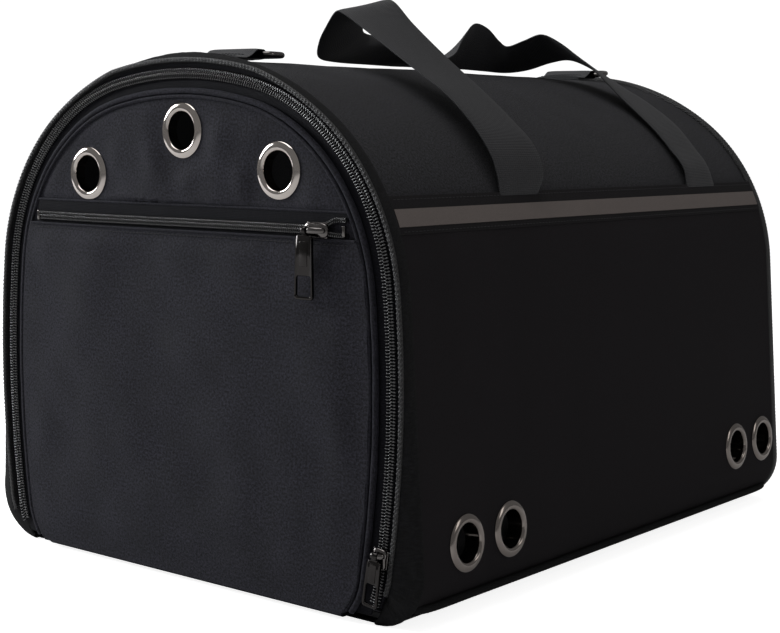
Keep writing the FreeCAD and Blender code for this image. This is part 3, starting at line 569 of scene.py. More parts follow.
def stitches(name, points, normals, pitch=3.2, length=2.3, radius=0.28):
    """A row of short raised threads along a path, lying on the cloth."""
    path = np.concatenate([np.asarray(points, float), np.asarray(normals, float)], 1)
    along = run_length(path[:, :3])
    vertices, faces = [], []
    for start in np.arange(pitch / 2, along[-1] - length, pitch):
        p = read_along(start + np.linspace(0, length, 4), along, path)
        direction = p[-1, :3] - p[0, :3]
        direction /= np.linalg.norm(direction)
        normal = p[0, 3:] / np.linalg.norm(p[0, 3:])
        side = np.cross(direction, normal)
        add_rings(vertices, faces, [
            ring_round(centre, side, normal, radius * swell, 6)
            for centre, swell in zip(p[:, :3], THREAD_SWELL)
        ])
    return new_object(name, vertices, faces)


# ---------------------------------------------------------------- materials
def node(tree, kind, **values):
    made = tree.nodes.new(kind)
    for key, value in values.items():
        if key in made.inputs:
            made.inputs[key].default_value = value
        else:
            setattr(made, key, value)
    return made


def start_material(name, color, rough, metallic=0.0, specular=0.5, sheen=0.0, sheen_tint=(1, 1, 1),
                   coat=0.0):
    material = bpy.data.materials.new(name)
    material.use_nodes = True
    tree = material.node_tree
    shader = tree.nodes["Principled BSDF"]
    shader.inputs["Base Color"].default_value = (*color, 1)
    shader.inputs["Roughness"].default_value = rough
    shader.inputs["Metallic"].default_value = metallic
    shader.inputs["Specular IOR Level"].default_value = specular
    shader.inputs["Sheen Weight"].default_value = sheen
    shader.inputs["Sheen Roughness"].default_value = 0.45
    shader.inputs["Sheen Tint"].default_value = (*sheen_tint, 1)
    shader.inputs["Coat Weight"].default_value = coat
    shader.inputs["Coat Roughness"].default_value = 0.12
    return material, tree, shader


def math_node(tree, operation, first, second=None):
    made = node(tree, "ShaderNodeMath", operation=operation)
    for index, value in enumerate((first, second)):
        if value is None:
            continue
        if isinstance(value, (int, float)):
            made.inputs[index].default_value = value
        else:
            tree.links.new(value, made.inputs[index])
    return made.outputs[0]


def object_noise(tree, **values):
    made = node(tree, "ShaderNodeTexNoise", **values)
    tree.links.new(node(tree, "ShaderNodeTexCoord").outputs["Object"], made.inputs["Vector"])
    return made.outputs[0]


def spread_roughness(tree, shader, source, low, high):
    spread = node(tree, "ShaderNodeMapRange")
    spread.inputs["To Min"].default_value = low
    spread.inputs["To Max"].default_value = high
    tree.links.new(source, spread.inputs[0])
    tree.links.new(spread.outputs[0], shader.inputs["Roughness"])


def add_bump(tree, shader, height, strength, depth):
    """Relief in the shading. depth is in millimetres."""
    bump = node(tree, "ShaderNodeBump", Strength=strength, Distance=depth * MM)
    tree.links.new(height, bump.inputs["Height"])
    tree.links.new(bump.outputs[0], shader.inputs["Normal"])


def mottled(tree, color, share, scale, shader, stretch=(1, 1, 1), extra=None):
    """Uneven dye and wear over soft noise; extra, when given, multiplies in the cloth's painted weave shade
    and flecks.
    """
    position = node(tree, "ShaderNodeTexCoord").outputs["Object"]
    mapping = node(tree, "ShaderNodeMapping")
    mapping.inputs["Scale"].default_value = stretch
    tree.links.new(position, mapping.inputs["Vector"])
    broad = node(tree, "ShaderNodeTexNoise", Scale=scale, Detail=6.0, Roughness=0.62)
    tree.links.new(mapping.outputs[0], broad.inputs["Vector"])
    ramp = node(tree, "ShaderNodeValToRGB")
    ramp.color_ramp.elements[0].position = 0.3
    ramp.color_ramp.elements[1].position = 0.72
    ramp.color_ramp.elements[0].color = (*[c * (1 - share) for c in color], 1)
    ramp.color_ramp.elements[1].color = (*[c * (1 + share) for c in color], 1)
    tree.links.new(broad.outputs[0], ramp.inputs[0])
    result = ramp.outputs[0]
    if extra is not None:
        mix = node(tree, "ShaderNodeMix", data_type="RGBA", blend_type="MULTIPLY")
        mix.inputs[0].default_value = 1.0
        tree.links.new(result, mix.inputs[6])
        tree.links.new(extra, mix.inputs[7])
        result = mix.outputs[2]
    tree.links.new(result, shader.inputs["Base Color"])
    return broad.outputs[0]


def cloth(name, color, pitch, depth, rough=0.85, share=0.25, scale=60.0, ribs=False, stretch=(1, 1, 1),
          fleck=0.25, **look):
    """Woven cloth: crossing threads at a pitch in millimetres, or ribs across the length."""
    material, tree, shader = start_material(name, color, rough, **look)
    uv = node(tree, "ShaderNodeUVMap", uv_map="weave")
    split = node(tree, "ShaderNodeSeparateXYZ")
    tree.links.new(uv.outputs[0], split.inputs[0])
    waves = []
    for output, size in ((split.outputs[0], pitch[0]), (split.outputs[1], pitch[1])):
        waves.append(math_node(tree, "SINE", math_node(tree, "MULTIPLY", output, 2 * math.pi / size)))
    if ribs:
        height = math_node(tree, "ADD", waves[0], math_node(tree, "MULTIPLY", waves[1], 0.35))
    else:
        height = math_node(tree, "MULTIPLY", waves[0], waves[1])
    speck = node(tree, "ShaderNodeTexNoise", Scale=0.75, Detail=3.0, Roughness=0.7)
    tree.links.new(uv.outputs[0], speck.inputs["Vector"])
    heather = math_node(tree, "MULTIPLY", math_node(tree, "SUBTRACT", speck.outputs[0], 0.5), 6.0 * fleck)
    # painted shade: the weave's height darkens the colour in the thread hollows and lightens the crests;
    # heather adds random flecks
    shade = math_node(tree, "ADD", math_node(tree, "MULTIPLY", height, 0.16), 0.95)
    shade = math_node(tree, "MAXIMUM", math_node(tree, "ADD", shade, heather), 0.15)
    broad = mottled(tree, color, share, scale, shader, stretch, shade)
    fuzz = object_noise(tree, Scale=1400.0, Detail=2.0)
    total = math_node(tree, "ADD", height, math_node(tree, "MULTIPLY", fuzz, 1.6))
    add_bump(tree, shader, total, 0.7, depth)
    spread_roughness(tree, shader, broad, max(0.0, rough - 0.1), min(1.0, rough + 0.1))
    return material


def metal(name, color, rough, scratch, **look):
    """Plated metal with fine handling marks and faint tarnish."""
    material, tree, shader = start_material(name, color, rough, metallic=1.0, **look)
    mottled(tree, color, 0.12, 45.0, shader)
    spread_roughness(tree, shader, object_noise(tree, Scale=900.0, Detail=4.0), rough, rough + scratch)
    return material


def moulded(name, color, rough, grain=0.02, **look):
    """Nylon or thread: slightly uneven sheen with a fine grain."""
    material, tree, shader = start_material(name, color, rough, **look)
    add_bump(tree, shader, mottled(tree, color, 0.2, 300.0, shader), 0.5, grain)
    return material


BLUE_SHEEN = (0.75, 0.8, 1.0)
M_COVER = cloth("cover_cloth", (0.0140, 0.0138, 0.0168), (0.9, 0.9), 0.10, 0.88, 0.22, 55, fleck=1.0,
                specular=0.22, sheen=0.05)
M_SIDE = cloth("side_cloth", (0.0128, 0.0112, 0.0128), (0.8, 0.8), 0.06, 0.85, 0.16, 22,
               stretch=(1, 1, 0.18), fleck=0.12, specular=0.12)
M_HEM = cloth("hem_cloth", (0.0105, 0.0095, 0.0106), (0.9, 0.6), 0.08, 0.8, 0.16, 40, fleck=0.15,
              specular=0.15)
M_DOOR = cloth("door_cloth", (0.0156, 0.0151, 0.0212), (0.85, 0.85), 0.10, 0.82, 0.24, 48, fleck=0.9,
               specular=0.22, sheen=0.05, sheen_tint=BLUE_SHEEN)
M_LINING = cloth("lining_cloth", (0.075, 0.075, 0.082), (0.7, 0.7), 0.07, 0.85, 0.12, 50)
M_MAT = cloth("mat_cloth", (0.13, 0.13, 0.138), (1.6, 1.6), 0.25, 0.95, 0.15, 80, sheen=0.3)
M_WEB = cloth("webbing", (0.0150, 0.0150, 0.0178), (1.1, 1.5), 0.14, 0.62, 0.14, 90, ribs=True, fleck=0.35,
              specular=0.4, sheen=0.08)
M_RIM = cloth("rim_band_cloth", (0.0075, 0.0075, 0.0082), (0.8, 0.8), 0.16, 0.9, 0.4, 260, fleck=0.5,
              specular=0.2)
M_BIND = cloth("rim_braid", (0.009, 0.009, 0.010), (2.0, 1.3), 0.25, 0.4, 0.5, 700, fleck=0.8, specular=0.5)
M_TAPE = cloth("zip_tape_cloth", (0.0060, 0.0060, 0.0085), (0.85, 0.9), 0.08, 0.7, 0.15, 70, ribs=True,
               specular=0.10)
M_SPECK = moulded("braid_thread", (0.036, 0.035, 0.035), 0.4, 0.03, specular=0.5)
M_STRIP = cloth("reflective_tape", (0.115, 0.094, 0.086), (0.35, 0.35), 0.02, 0.5, 0.07, 120, fleck=0.05)
M_NET = cloth("net_thread", (0.010, 0.010, 0.011), (0.8, 0.5), 0.05, 0.7, 0.1, 200, specular=0.3)
M_COIL = moulded("coil_nylon", (0.018, 0.018, 0.019), 0.2, specular=0.7, coat=0.7)
M_THREAD = moulded("sewing_thread", (0.018, 0.018, 0.02), 0.6, 0.05, specular=0.3)
M_BOARD = moulded("stiff_board", (0.04, 0.04, 0.042), 0.55, 0.05)
M_NICKEL = metal("polished_nickel", (0.56, 0.51, 0.475), 0.05, 0.06)
M_DULL = metal("aged_nickel", (0.27, 0.24, 0.222), 0.1, 0.1)
M_BLACK = metal("black_nickel", (0.15, 0.14, 0.135), 0.12, 0.08)
M_PULL = metal("black_plated_pull", (0.042, 0.039, 0.038), 0.1, 0.08)

# ---------------------------------------------------------------- tunnel
def tunnel_skin(name, skin, relief, material, nodes):
    """The whole arch of the tunnel, from seam to seam, with holes for the side eyelets."""
    y = np.linspace(-HALF_SHELL, HALF_SHELL, 120)
    holes = side_holes(RIGHT) + side_holes(LEFT)
    made = skin_slab(name, arch(skin[0], RIM, SEAM_Z), skin, y, 3.0, relief, RIGHT, holes)
    return finish_piece(made, material, "carrier", nodes)


def roof_relief(s, y):
    """Slight unevenness over the foam, gathered a little where the rims hold it."""
    hold = smooth((HALF_SHELL - np.abs(y)) / 25.0)
    above = smooth((np.minimum(s, s.max() - s) - 250.0) / 40.0)
    return hold * (0.25 + above) * (0.55 * ripple(s, y, 70.0, 1.0) + 0.25 * ripple(s, y, 24.0, 5.0))


cover = tunnel_skin("cover_skin", COVER_SKIN, roof_relief, M_COVER,
                    ("tunnel_cover", "tunnel_foam"))
lining = tunnel_skin("lining_skin", LINING_SKIN, lambda s, y: 0.1 * ripple(s, y, 30.0, 9.0), M_LINING,
                     ("tunnel_lining",))


def side_relief(s, y):
    hold = smooth((HALF_SHELL - np.abs(y)) / 18.0) * smooth(s / 18.0)
    return hold * 0.28 * ripple(s * 0.6, y, 60.0, 3.0)


def hem_lines(side, word, inset, heights):
    """Topstitching along the pocket hem."""
    for index, z in enumerate(heights):
        y = np.linspace(-HALF_SHELL + 2, HALF_SHELL - 2, 140)
        x = skin_x(inset, z)
        rise = math.asin((z - SHOULDER[1]) / (SHOULDER_RADIUS - inset))
        points = np.stack([np.full_like(y, side * x), y, np.full_like(y, z)], 1)
        normals = np.tile((side * math.cos(rise), 0.0, math.sin(rise)), (len(y), 1))
        rows = stitches("hem_stitching_%s_%d" % (word, index), points, normals, radius=0.22)
        finish_piece(rows, M_THREAD, "carrier")


def hem_relief(s, y):
    return 0.18 * np.sin(math.pi * s / 21.4) + 0.12 * ripple(s, y, 26.0, 2.0)


def strip_relief(s, y):
    return 0.12 + 0.1 * ripple(s, y, 26.0, 2.0)


for side, word in SIDES:
    panel = side_slab("pocket_side_" + word, side, SIDE_SKIN, SEAM_Z, SIDE_TOP, -HALF_SHELL, HALF_SHELL,
                      (3.0, 3.4), side_relief, side_holes(side))
    finish_piece(panel, M_SIDE, "carrier", ("side_panel_" + word,))
    hem = side_slab("pocket_hem_" + word, side, HEM_SKIN, HEM_FOOT, HEM_TOP, -HALF_SHELL, HALF_SHELL,
                    (2.1, 4.0), hem_relief)
    finish_piece(hem, M_HEM, "carrier", ("side_hem_" + word,))
    strip = side_slab("reflective_band_" + word, side, STRIP_SKIN, STRIP_FOOT, STRIP_TOP, 1 - HALF_SHELL,
                      HALF_SHELL - 1, (2.2, 4.0), strip_relief)
    finish_piece(strip, M_STRIP, "carrier", ("reflective_strip_" + word,))
    hem_lines(side, word, 0.25, HEM_STITCH_LINES)
    for index, foot in enumerate(HANDLE_FEET):
        tail = side_slab("handle_tail_%s_%d" % (word, index), side, TAIL_SKIN, TAIL_FOOT, TAIL_TOP,
                         foot - HALF_STRAP, foot + HALF_STRAP, (3.0, 3.0))
        nodes = ("handle_anchors_" + word,) if index == 0 else ()
        finish_piece(tail, M_WEB, "carrier", nodes)

# ---------------------------------------------------------------- base
RIM_CENTRE_X = flank(0.0, RIM, 0.0)[0][0]


def base_loop(inset):
    """The underside from the right seam to the left seam."""
    start = math.asin((SEAM_Z - RIM[1]) / (RIM[0] - inset))
    corner = polar((RIM_CENTRE_X, RIM[1]), RIM[0] - inset, start, -math.pi / 2, 16)
    left = corner[::-1] * (-1, 1)
    return np.concatenate([corner, between(corner[-1], left[0], 70), left])


y = np.linspace(-HALF_SHELL, HALF_SHELL, 60)
outer_loop, inner_loop = base_loop(0.0), base_loop(1.2)
grids = [lengthwise(loop, 0 * loop, y, 0.0) for loop in (outer_loop, inner_loop)]
base = slab("base_skin", grids[0], grids[1], y[None], np.arange(len(outer_loop))[:, None] * 4.1)
finish_piece(base, M_SIDE, "carrier", ("base_cover",))

# piping along the lower seams, with its ends tucked into the rims
PIPING_Z, PIPING_RADIUS = 10.4, 2.1
piping_x = RIM_CENTRE_X + math.sqrt((RIM[0] + 2.3 - 0.7) ** 2 - (RIM[1] - PIPING_Z) ** 2)
run = ((-HALF_SHELL, 3.4), (-194, 0.4), (-150, 0), (0, 0), (150, 0), (194, 0.4), (HALF_SHELL, 3.4))
for side, word in SIDES:
    points = spline([(side * (piping_x - tuck), a, PIPING_Z + 0.4 * tuck) for a, tuck in run], 140)
    cord = rope("base_piping_cord_" + word, points, PIPING_RADIUS, 12,
                lambda s, a: 0.03 * np.sin(2 * math.pi * s / 3.0 + a))
    finish_piece(cord, M_RIM, "carrier", ("base_piping_" + word,))

under_x, under_y = np.linspace(-137.5, 137.5, 60), np.linspace(-200, 200, 80)
gx, gy = np.meshgrid(under_x, under_y, indexing="ij")
top = np.stack([gx, gy, 5.75 + 0.05 * ripple(gx, gy, 30, 4)], -1)
low = np.stack([gx, gy, 0 * gx + 5.0], -1)
finish_piece(slab("floor_lining", top, low, gx, gy), M_LINING, "carrier", ("base_lining",))
set_material(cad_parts["base_board"], M_BOARD)


MAT_MIDDLE = 0.0132
MAT_LOW, MAT_HIGH = (-0.1373, -0.1968, 0.0065), (0.1373, 0.1968, 0.0215)
MAT_CHANNEL, MAT_SWELL = 0.066, 0.004


def quilted_mat():
    """The loose mat: a fleece pad, swollen by simulation and then sewn into channels."""
    made = add_object("pet_mat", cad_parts["base_mat"].data.copy())
    remesh = made.modifiers.new("remesh", "REMESH")
    remesh.mode, remesh.voxel_size = "VOXEL", 0.0055
    apply_modifiers(made)
    rest = np.array([p.co for p in made.data.vertices])
    shrink = rest.copy()
    shrink[:, :2] *= 0.985
    shrink[:, 2] = MAT_MIDDLE + (rest[:, 2] - MAT_MIDDLE) * 0.72
    made.data.vertices.foreach_set("co", shrink.astype(np.float32).ravel())
    cloth_mod = made.modifiers.new("swell", "CLOTH")
    settings = cloth_mod.settings
    settings.use_pressure = True
    settings.uniform_pressure_force = 4.0
    settings.effector_weights.gravity = 0.0
    settings.quality = 4
    for number in range(1, 13):
        bpy.context.scene.frame_set(number)
    apply_modifiers(made)
    bpy.context.scene.frame_set(1)
    now = np.array([p.co for p in made.data.vertices])
    step = now - shrink
    reach = np.linalg.norm(step, axis=1)[:, None]
    now = shrink + step * np.minimum(1.0, MAT_SWELL / np.maximum(reach, 1e-9))
    channel = np.abs(np.sin(math.pi * now[:, 1] / MAT_CHANNEL))
    upper = smooth((now[:, 2] - MAT_MIDDLE) / 0.004)
    now[:, 2] -= upper * 0.0034 * np.exp(-((channel / 0.16) ** 2))
    now = np.clip(now, MAT_LOW, MAT_HIGH)
    made.data.vertices.foreach_set("co", now.astype(np.float32).ravel())
    set_weave(made.data, np.array([made.data.vertices[k.vertex_index].co[:2] for k in made.data.loops]) / MM)
    made.data.polygons.foreach_set("use_smooth", [True] * len(made.data.polygons))
    return made


def apply_modifiers(made):
    graph = bpy.context.evaluated_depsgraph_get()
    data = bpy.data.meshes.new_from_object(made.evaluated_get(graph))
    made.modifiers.clear()
    made.data = data


mat = quilted_mat()
finish_piece(mat, M_MAT, "carrier", ("base_mat",), 80.0)

# ---------------------------------------------------------------- rims
def braid(s, angle):
    """A herringbone of slanted ribs."""
    return 0.075 * np.sin(2 * math.pi * s / 2.3 + 2.0 * np.abs(((angle / math.pi + 0.5) % 1) - 0.5) * 5.0)


def front_rim():
    """Soft edge band that slopes from the tunnel's end to a braided ridge beside the zip."""
    path, tangent, s = resample(arch(0.0, RIM, 0.0), 1.2)
    inwards = -outward(tangent)
    gap = gap_to_zip(path, inwards)
    ridge = np.maximum(0.9, gap - RIDGE_OUT)
    soft = 0.25 * ripple(s, s * 0, 9.0, 31.0) + 0.15 * ripple(s, s * 0, 3.0, 32.0)
    stations = [
        (0 * gap + 2.6, -203.6), (0 * gap - 0.3, -203.9), (soft - 0.5, -206.0),
        (ridge * 0.3 - 0.3 + soft, -209.2), (ridge * 0.72 + soft * 0.5, -211.7), (ridge, RIDGE_FACE),
        (ridge + 1.6, -211.9), (ridge + 2.3, -210.9), (ridge + 2.0, -209.95),
        (ridge * 0.5 + 1.6, -209.6), (0 * gap + 2.7, -206.5),
    ]
    rings = np.zeros((len(s), len(stations), 3))
    forward = 0.4 + 0.6 * smooth(path[:, 1] / 16.0)
    for j, (depth, y) in enumerate(stations):
        rings[:, j, 0] = path[:, 0] + inwards[:, 0] * depth
        rings[:, j, 1] = -HALF_SHELL + (y + HALF_SHELL) * forward
        rings[:, j, 2] = path[:, 1] + inwards[:, 1] * depth
    finish_piece(tube("front_rim_band", rings, s), M_RIM, "carrier", ("front_binding",), 70.0)
    line = (path + inwards * (ridge + 0.15)[:, None])[path[:, 1] > 9.0]
    threads = []
    for side in (RIGHT, LEFT):
        row, along, _ = resample(line, 2.5)
        away = outward(along) * side
        start = row + away * 0.1
        end = row + away * 1.3 + along * 1.6
        threads += [((a[0], -213.6, a[1]), (b[0], -212.95, b[1])) for a, b in zip(start, end)]
    herringbone = short_threads("front_rim_herringbone", threads, 0.36)
    finish_piece(herringbone, M_SPECK, "carrier", (), 70.0)
    return arch_rope("front_rim_braid", line, RIDGE_FACE, 1.3, 1.1, 2.4, 0.8, 12, braid)


finish_piece(front_rim(), M_BIND, "carrier", (), 70.0)
rear_path = closed_arch(2.5, RIM, 0.0)
rear_loop = np.concatenate([rear_path, rear_path[:1]])
rear_rim = arch_rope("rear_rim_braid", rear_loop, REAR_RIM_Y, 2.4, 3.4, 3.2, 1.2, 18,
                     lambda s, a: braid(s, a) * 0.6)
finish_piece(rear_rim, M_BIND, "carrier", ("rear_binding",), 70.0)

# ---------------------------------------------------------------- rear end
def rear_lift(x, z, share):
    return 0.9 * np.sin(math.pi * share) + 0.25 * ripple(x, z, 45.0, 7.0) * np.sin(math.pi * share)


rear = band("rear_frame_pad", closed_arch(5.3, RIM, 0.3), closed_arch(40.0, WINDOW, 0.0), 16,
            REAR_PAD_FACE, -5.6, True, rear_lift)
finish_piece(rear, M_COVER, "carrier", ("rear_panel", "rear_foam"))
edge = band("rear_window_tape", closed_arch(36.8, WINDOW, 0.0), closed_arch(41.8, WINDOW, 0.0), 7,
            REAR_TAPE_FACE, -0.6, True,
            lambda x, z, share: 1.1 * np.sqrt(np.clip(1 - (2 * share - 1) ** 2, 0, 1)))
finish_piece(edge, M_TAPE, "carrier", ("rear_window_binding",))


def net():
    """Open netting across the window, two sets of threads passing over and under each other."""
    pitch, half = 3.4, 0.42
    vertices, faces = [], []
    loop = arch(37.5, WINDOW, 0.0)
    right = loop[: len(loop) // 2 + 1]
    order = np.argsort(right[:, 1])
    top, bottom = right[:, 1].max(), right[:, 1].min()

    def thread(points):
        points = np.asarray(points)
        tangent = np.gradient(points, axis=0)
        side = np.cross(tangent, (0.0, 1.0, 0.0))
        side /= np.linalg.norm(side, axis=1)[:, None]
        flat = np.array((0, 0.6, 0))
        add_rings(vertices, faces, [ring_round(p, d, flat, half, 4) for p, d in zip(points, side)])

    for row, z in enumerate(np.arange(bottom + 2, top - 1, pitch)):
        width = np.interp(z, right[order, 1], right[order, 0])
        columns = np.arange(-math.floor(width / pitch) * pitch, width, pitch / 2)
        weave = [NET_FACE + NET_OVER * math.cos(math.pi * (x / pitch + row)) for x in columns]
        thread([(x, w, z) for x, w in zip(columns, weave)])
    for column, x in enumerate(np.arange(-126.0, 126.1, pitch)):
        heights = np.arange(bottom, top, pitch / 2)
        widths = np.interp(heights, right[order, 1], right[order, 0])
        inside = heights[widths > abs(x)]
        if len(inside) > 3:
            turns = [(z - bottom - 2) / pitch + column for z in inside]
            weave = [NET_FACE - NET_OVER * math.cos(math.pi * k) for k in turns]
            thread([(x, w, z) for w, z in zip(weave, inside)])
    return new_object("rear_net", vertices, faces)


finish_piece(net(), M_NET, "carrier", ("rear_mesh",), 80.0)

# ---------------------------------------------------------------- front zip
tape_out, tape_tangent, _ = resample(arch(1.9, RIM, DOOR_FOOT), 2.0)
tape_way = -outward(tape_tangent)
tape_gap = gap_to_zip(tape_out, tape_way, -0.2)
tape_in = tape_out + tape_way * tape_gap[:, None]
tape_out = tape_out + tape_way * np.clip(tape_gap - RIDGE_OUT + 1.4, 0.0, None)[:, None]
tape = band("frame_tape", tape_out, tape_in, 9, ZIP_FACE, 0.85, False,
            lambda x, z, share: -0.9 * (1 - smooth(share / 0.7)))
finish_piece(tape, M_TAPE, "carrier", ("frame_zip_tape",))
tape = band("door_tape", zip_arch(0.2, 6.0), zip_arch(12.6, 6.0), 10, ZIP_FACE, 0.85, False,
            lambda x, z, share: -0.35 * np.sin(math.pi * share))
finish_piece(tape, M_TAPE, "door", ("door_zip_tape",))


def coil(name, path, tangent, inwards, s, start, pitch, reach, base, height, radius):
    """Nylon coil turns: each rises from the tape, runs to the middle and ends in a rounded head."""
    profile = ((reach, 0.15), (reach + 0.25, 0.6 * height), (reach * 0.8, height),
               (reach * 0.38, height * 0.62), (-0.25, height * 0.86))
    swells = (0.9, 1.1, 1.2, 0.8, 1.45)
    vertices, faces = [], []
    for at in np.arange(start, s[-1] - 0.5, pitch):
        p, t, n = [read_along(at, s, rows) for rows in (path, tangent, inwards)]
        line = np.array([p + n * across + np.array((0, base - rise, 0)) for across, rise in profile])
        up = np.cross(np.gradient(line, axis=0), t)
        up /= np.linalg.norm(up, axis=1)[:, None]
        add_rings(vertices, faces, [
            ring_round(centre, t, way, radius * swell, 6) for centre, way, swell in zip(line, up, swells)
        ])
    return new_object(name, vertices, faces)


def lift(points):
    return np.stack([points[:, 0], np.zeros(len(points)), points[:, 1]], 1)


chain, chain_tangent, chain_s = resample(zip_arch(0.0, 12.0), 1.0)
chain_out = outward(chain_tangent)
for name, body, sign, start, nodes in (
    ("frame_coil", "carrier", 1, 1.0, ("frame_zip_teeth",)),
    ("door_coil", "door", -1, 1.85, ("door_zip_teeth",)),
):
    teeth = coil(name, lift(chain), lift(chain_tangent), lift(chain_out) * sign, chain_s, start, pitch=1.7,
                 reach=2.75, base=ZIP_FACE, height=1.95, radius=0.46)
    finish_piece(teeth, M_COIL, body, nodes, 80.0)

# ---------------------------------------------------------------- door
def eyelet_dip(x, z):
    """0 at an eyelet's flange, 1 away from it."""
    near = np.ones_like(x)
    for ex, ez in DOOR_EYELETS:
        near = np.minimum(near, smooth((np.hypot(x - ex, z - ez) - 15.0) / 16.0))
    return near


def edge_rise(x, z, reach):
    """0 at the arched edge of the door, 1 well inside it."""
    return smooth((zip_depth(x, z) - DOOR_INSET) / reach)


def pulls(x, z):
    """Fine pull lines that fan out from the eyelets and fade with distance."""
    total = np.zeros_like(x)
    for index, (ex, ez) in enumerate(DOOR_EYELETS):
        distance = np.hypot(x - ex, z - ez)
        angle = np.arctan2(z - ez, x - ex)
        fade = np.exp(-(((distance - 22.0) / 13.0) ** 2))
        total += fade * np.sin(angle * 5.0 + 1.7 * index) * 0.35
    return total


def door_face(x, z):
    upper = smooth((z - FLAP_Z) / 1.6)
    puff = 1.9 * edge_rise(x, z, 26.0) * eyelet_dip(x, z)
    relief = 1.6 * ripple(x, z, 36.0, 11.0) + 0.9 * ripple(x, z * 0.45, 15.0, 12.0) + 3.0 * pulls(x, z)
    return PANEL_FACE - upper * (0.6 * edge_rise(x, z, 5.0) * eyelet_dip(x, z) + puff * (0.8 + 0.5 * relief))


outline = closed(zip_arch(DOOR_INSET, DOOR_FOOT))
outline = resample(np.concatenate([outline, outline[:1]]), 2.6)[0][:-1]
PANEL_BACK, INNER_FACE = -207.65, -207.55
panel = fan_panel("door_panel", outline, (0, 150), 72, door_face, lambda y: 0 * y + PANEL_BACK, door_holes())
finish_piece(panel, M_DOOR, "door", ("door_backing", "door_foam"))
inner = fan_panel("door_inner_cloth", outline, (0, 150), 60, lambda x, z: 0 * x + INNER_FACE, 0.7,
                  door_holes())
finish_piece(inner, M_LINING, "door", ("door_lining",))


def door_roll(name, inset, radius, y, nodes=()):
    made = arch_rope(name, zip_arch(inset, 6.0), y, radius, radius, 2.0, 2.0, 12,
                     lambda s, a: 0.05 * np.sin(s / 4.2 + 2 * a) * np.sin(s / 11.0))
    finish_piece(made, M_DOOR, "door", nodes, 70.0)


door_roll("door_roll_outer", 9.7, 1.75, -211.9, ("door_piping",))
door_roll("door_roll_inner", 12.7, 1.0, -212.9)



def sag(x):
    """The pocket zip droops a little towards the left."""
    return -1.5 * smooth((103.0 - np.asarray(x, float)) / 233.0)


def pocket_relief(x, z):
    """Loose cloth: long soft folds, small puckers near the seams."""
    inner_share = edge_rise(x, z, 24.0) * smooth((z - 4.0) / 22.0) * smooth((POCKET_TOP - z) / 14.0)
    fold = 0.85 * ripple(x + 0.3 * z, z * 0.6, 60.0, 21.0)
    fold += 0.8 * ripple(x * 0.42 + z * 0.9, x * 0.7 - z * 0.25, 27.0, 22.0)
    pucker = 0.25 * ripple(x, z, 11.0, 23.0) * (1 - smooth((POCKET_TOP - z) / 40.0))
    sides = 0.22 * np.sin(z / 5.2 + ripple(x, z, 30, 24) * 3) * (1 - edge_rise(x, z, 16.0))
    edges = pucker * smooth((POCKET_TOP - z) / 3.0) + sides * smooth(z / 20.0)
    return inner_share * (1.6 + 2.3 * fold) + edges


def pocket_outline():
    right = zip_flank(DOOR_INSET, DOOR_FOOT, POCKET_TOP)
    loop = np.concatenate([right, right[::-1] * (-1, 1), right[:1]])
    points = resample(loop, 2.6)[0][:-1]
    points[:, 1] += np.where(points[:, 1] > POCKET_TOP - 0.5, sag(points[:, 0]), 0.0)
    return points


pocket_loop = pocket_outline()
pocket = fan_panel("pocket_panel", pocket_loop, (0, 100), 64,
                   lambda x, z: POCKET_FACE - np.clip(pocket_relief(x, z), -0.3, 5.2), 0.8)
finish_piece(pocket, M_DOOR, "door", ("door_pocket_front",))


def cross_roll(name, z, half, radius, y):
    points = [(x, y, z + sag(x)) for x in np.linspace(-half, half, 30)]
    finish_piece(rope(name, points, radius, 8), M_DOOR, "door", (), 70.0)


cross_roll("pocket_edge_fold", POCKET_TOP - 0.2, 128.4, 0.75, -214.3)
cross_roll("upper_edge_fold", FLAP_Z, 122.2, 0.65, -213.1)


def cross_stitches(name, z, half, y):
    x = np.linspace(-half, half, 60)
    points = np.stack([x, np.full_like(x, y), z + sag(x)], 1)
    normals = np.tile(DOOR_OUT, (len(x), 1))
    finish_piece(stitches(name, points, normals, 2.9, 2.1, 0.24), M_THREAD, "door")


cross_stitches("pocket_edge_stitching", POCKET_TOP - 2.6, 126.0, -214.75)


def pocket_tape(name, low, high, upper, nodes):
    """One tape of the pocket zip. To the right of the slider the two tapes part."""
    x = np.linspace(-HALF_POCKET_TAPE, HALF_POCKET_TAPE, 130)
    share = np.linspace(0, 1, 6)
    gape = smooth(np.maximum(x - POCKET_SLIDER_X, 0.0) / 14.0) * (4.6 if upper else -0.9)
    z = np.stack([low + (high - low) * t + sag(x) + gape * ((1 - t) if upper else t) for t in share], 1)
    half_at = zip_half(DOOR_INSET + 0.3, z)
    gx = np.clip(np.repeat(x[:, None], 6, 1), -half_at, half_at)
    face = np.stack([gx, 0 * gx + POCKET_TAPE_FACE, z], -1)
    made = slab(name, face, face + (0, 0.7, 0), x[:, None], (share * (high - low))[None, :])
    finish_piece(made, M_TAPE, "door", nodes)


pocket_tape("pocket_tape_top", POCKET_LINE + 0.2, FLAP_Z, True, ("pocket_zip_tape_upper",))
pocket_tape("pocket_tape_low", POCKET_TOP - 0.6, POCKET_LINE - 0.2, False, ("pocket_zip_tape_lower",))


def pocket_coil(name, sign, nodes):
    x = np.linspace(-119.8, 122.6, 310)
    spread = smooth((x - POCKET_SLIDER_X) / 13.0) * (4.7 if sign > 0 else 1.0)
    path = np.stack([x, np.zeros_like(x), POCKET_LINE + sag(x) + sign * spread], 1)
    tangent = np.gradient(path, axis=0)
    s = run_length(path)
    tangent /= np.linalg.norm(tangent, axis=1)[:, None]
    inwards = np.tile((0.0, 0.0, float(sign)), (len(x), 1))
    made = coil(name, path, tangent, inwards, s, 0.6 if sign > 0 else 1.3, pitch=1.4, reach=2.1,
                base=POCKET_TAPE_FACE, height=1.85, radius=0.44)
    finish_piece(made, M_COIL, "door", nodes, 80.0)


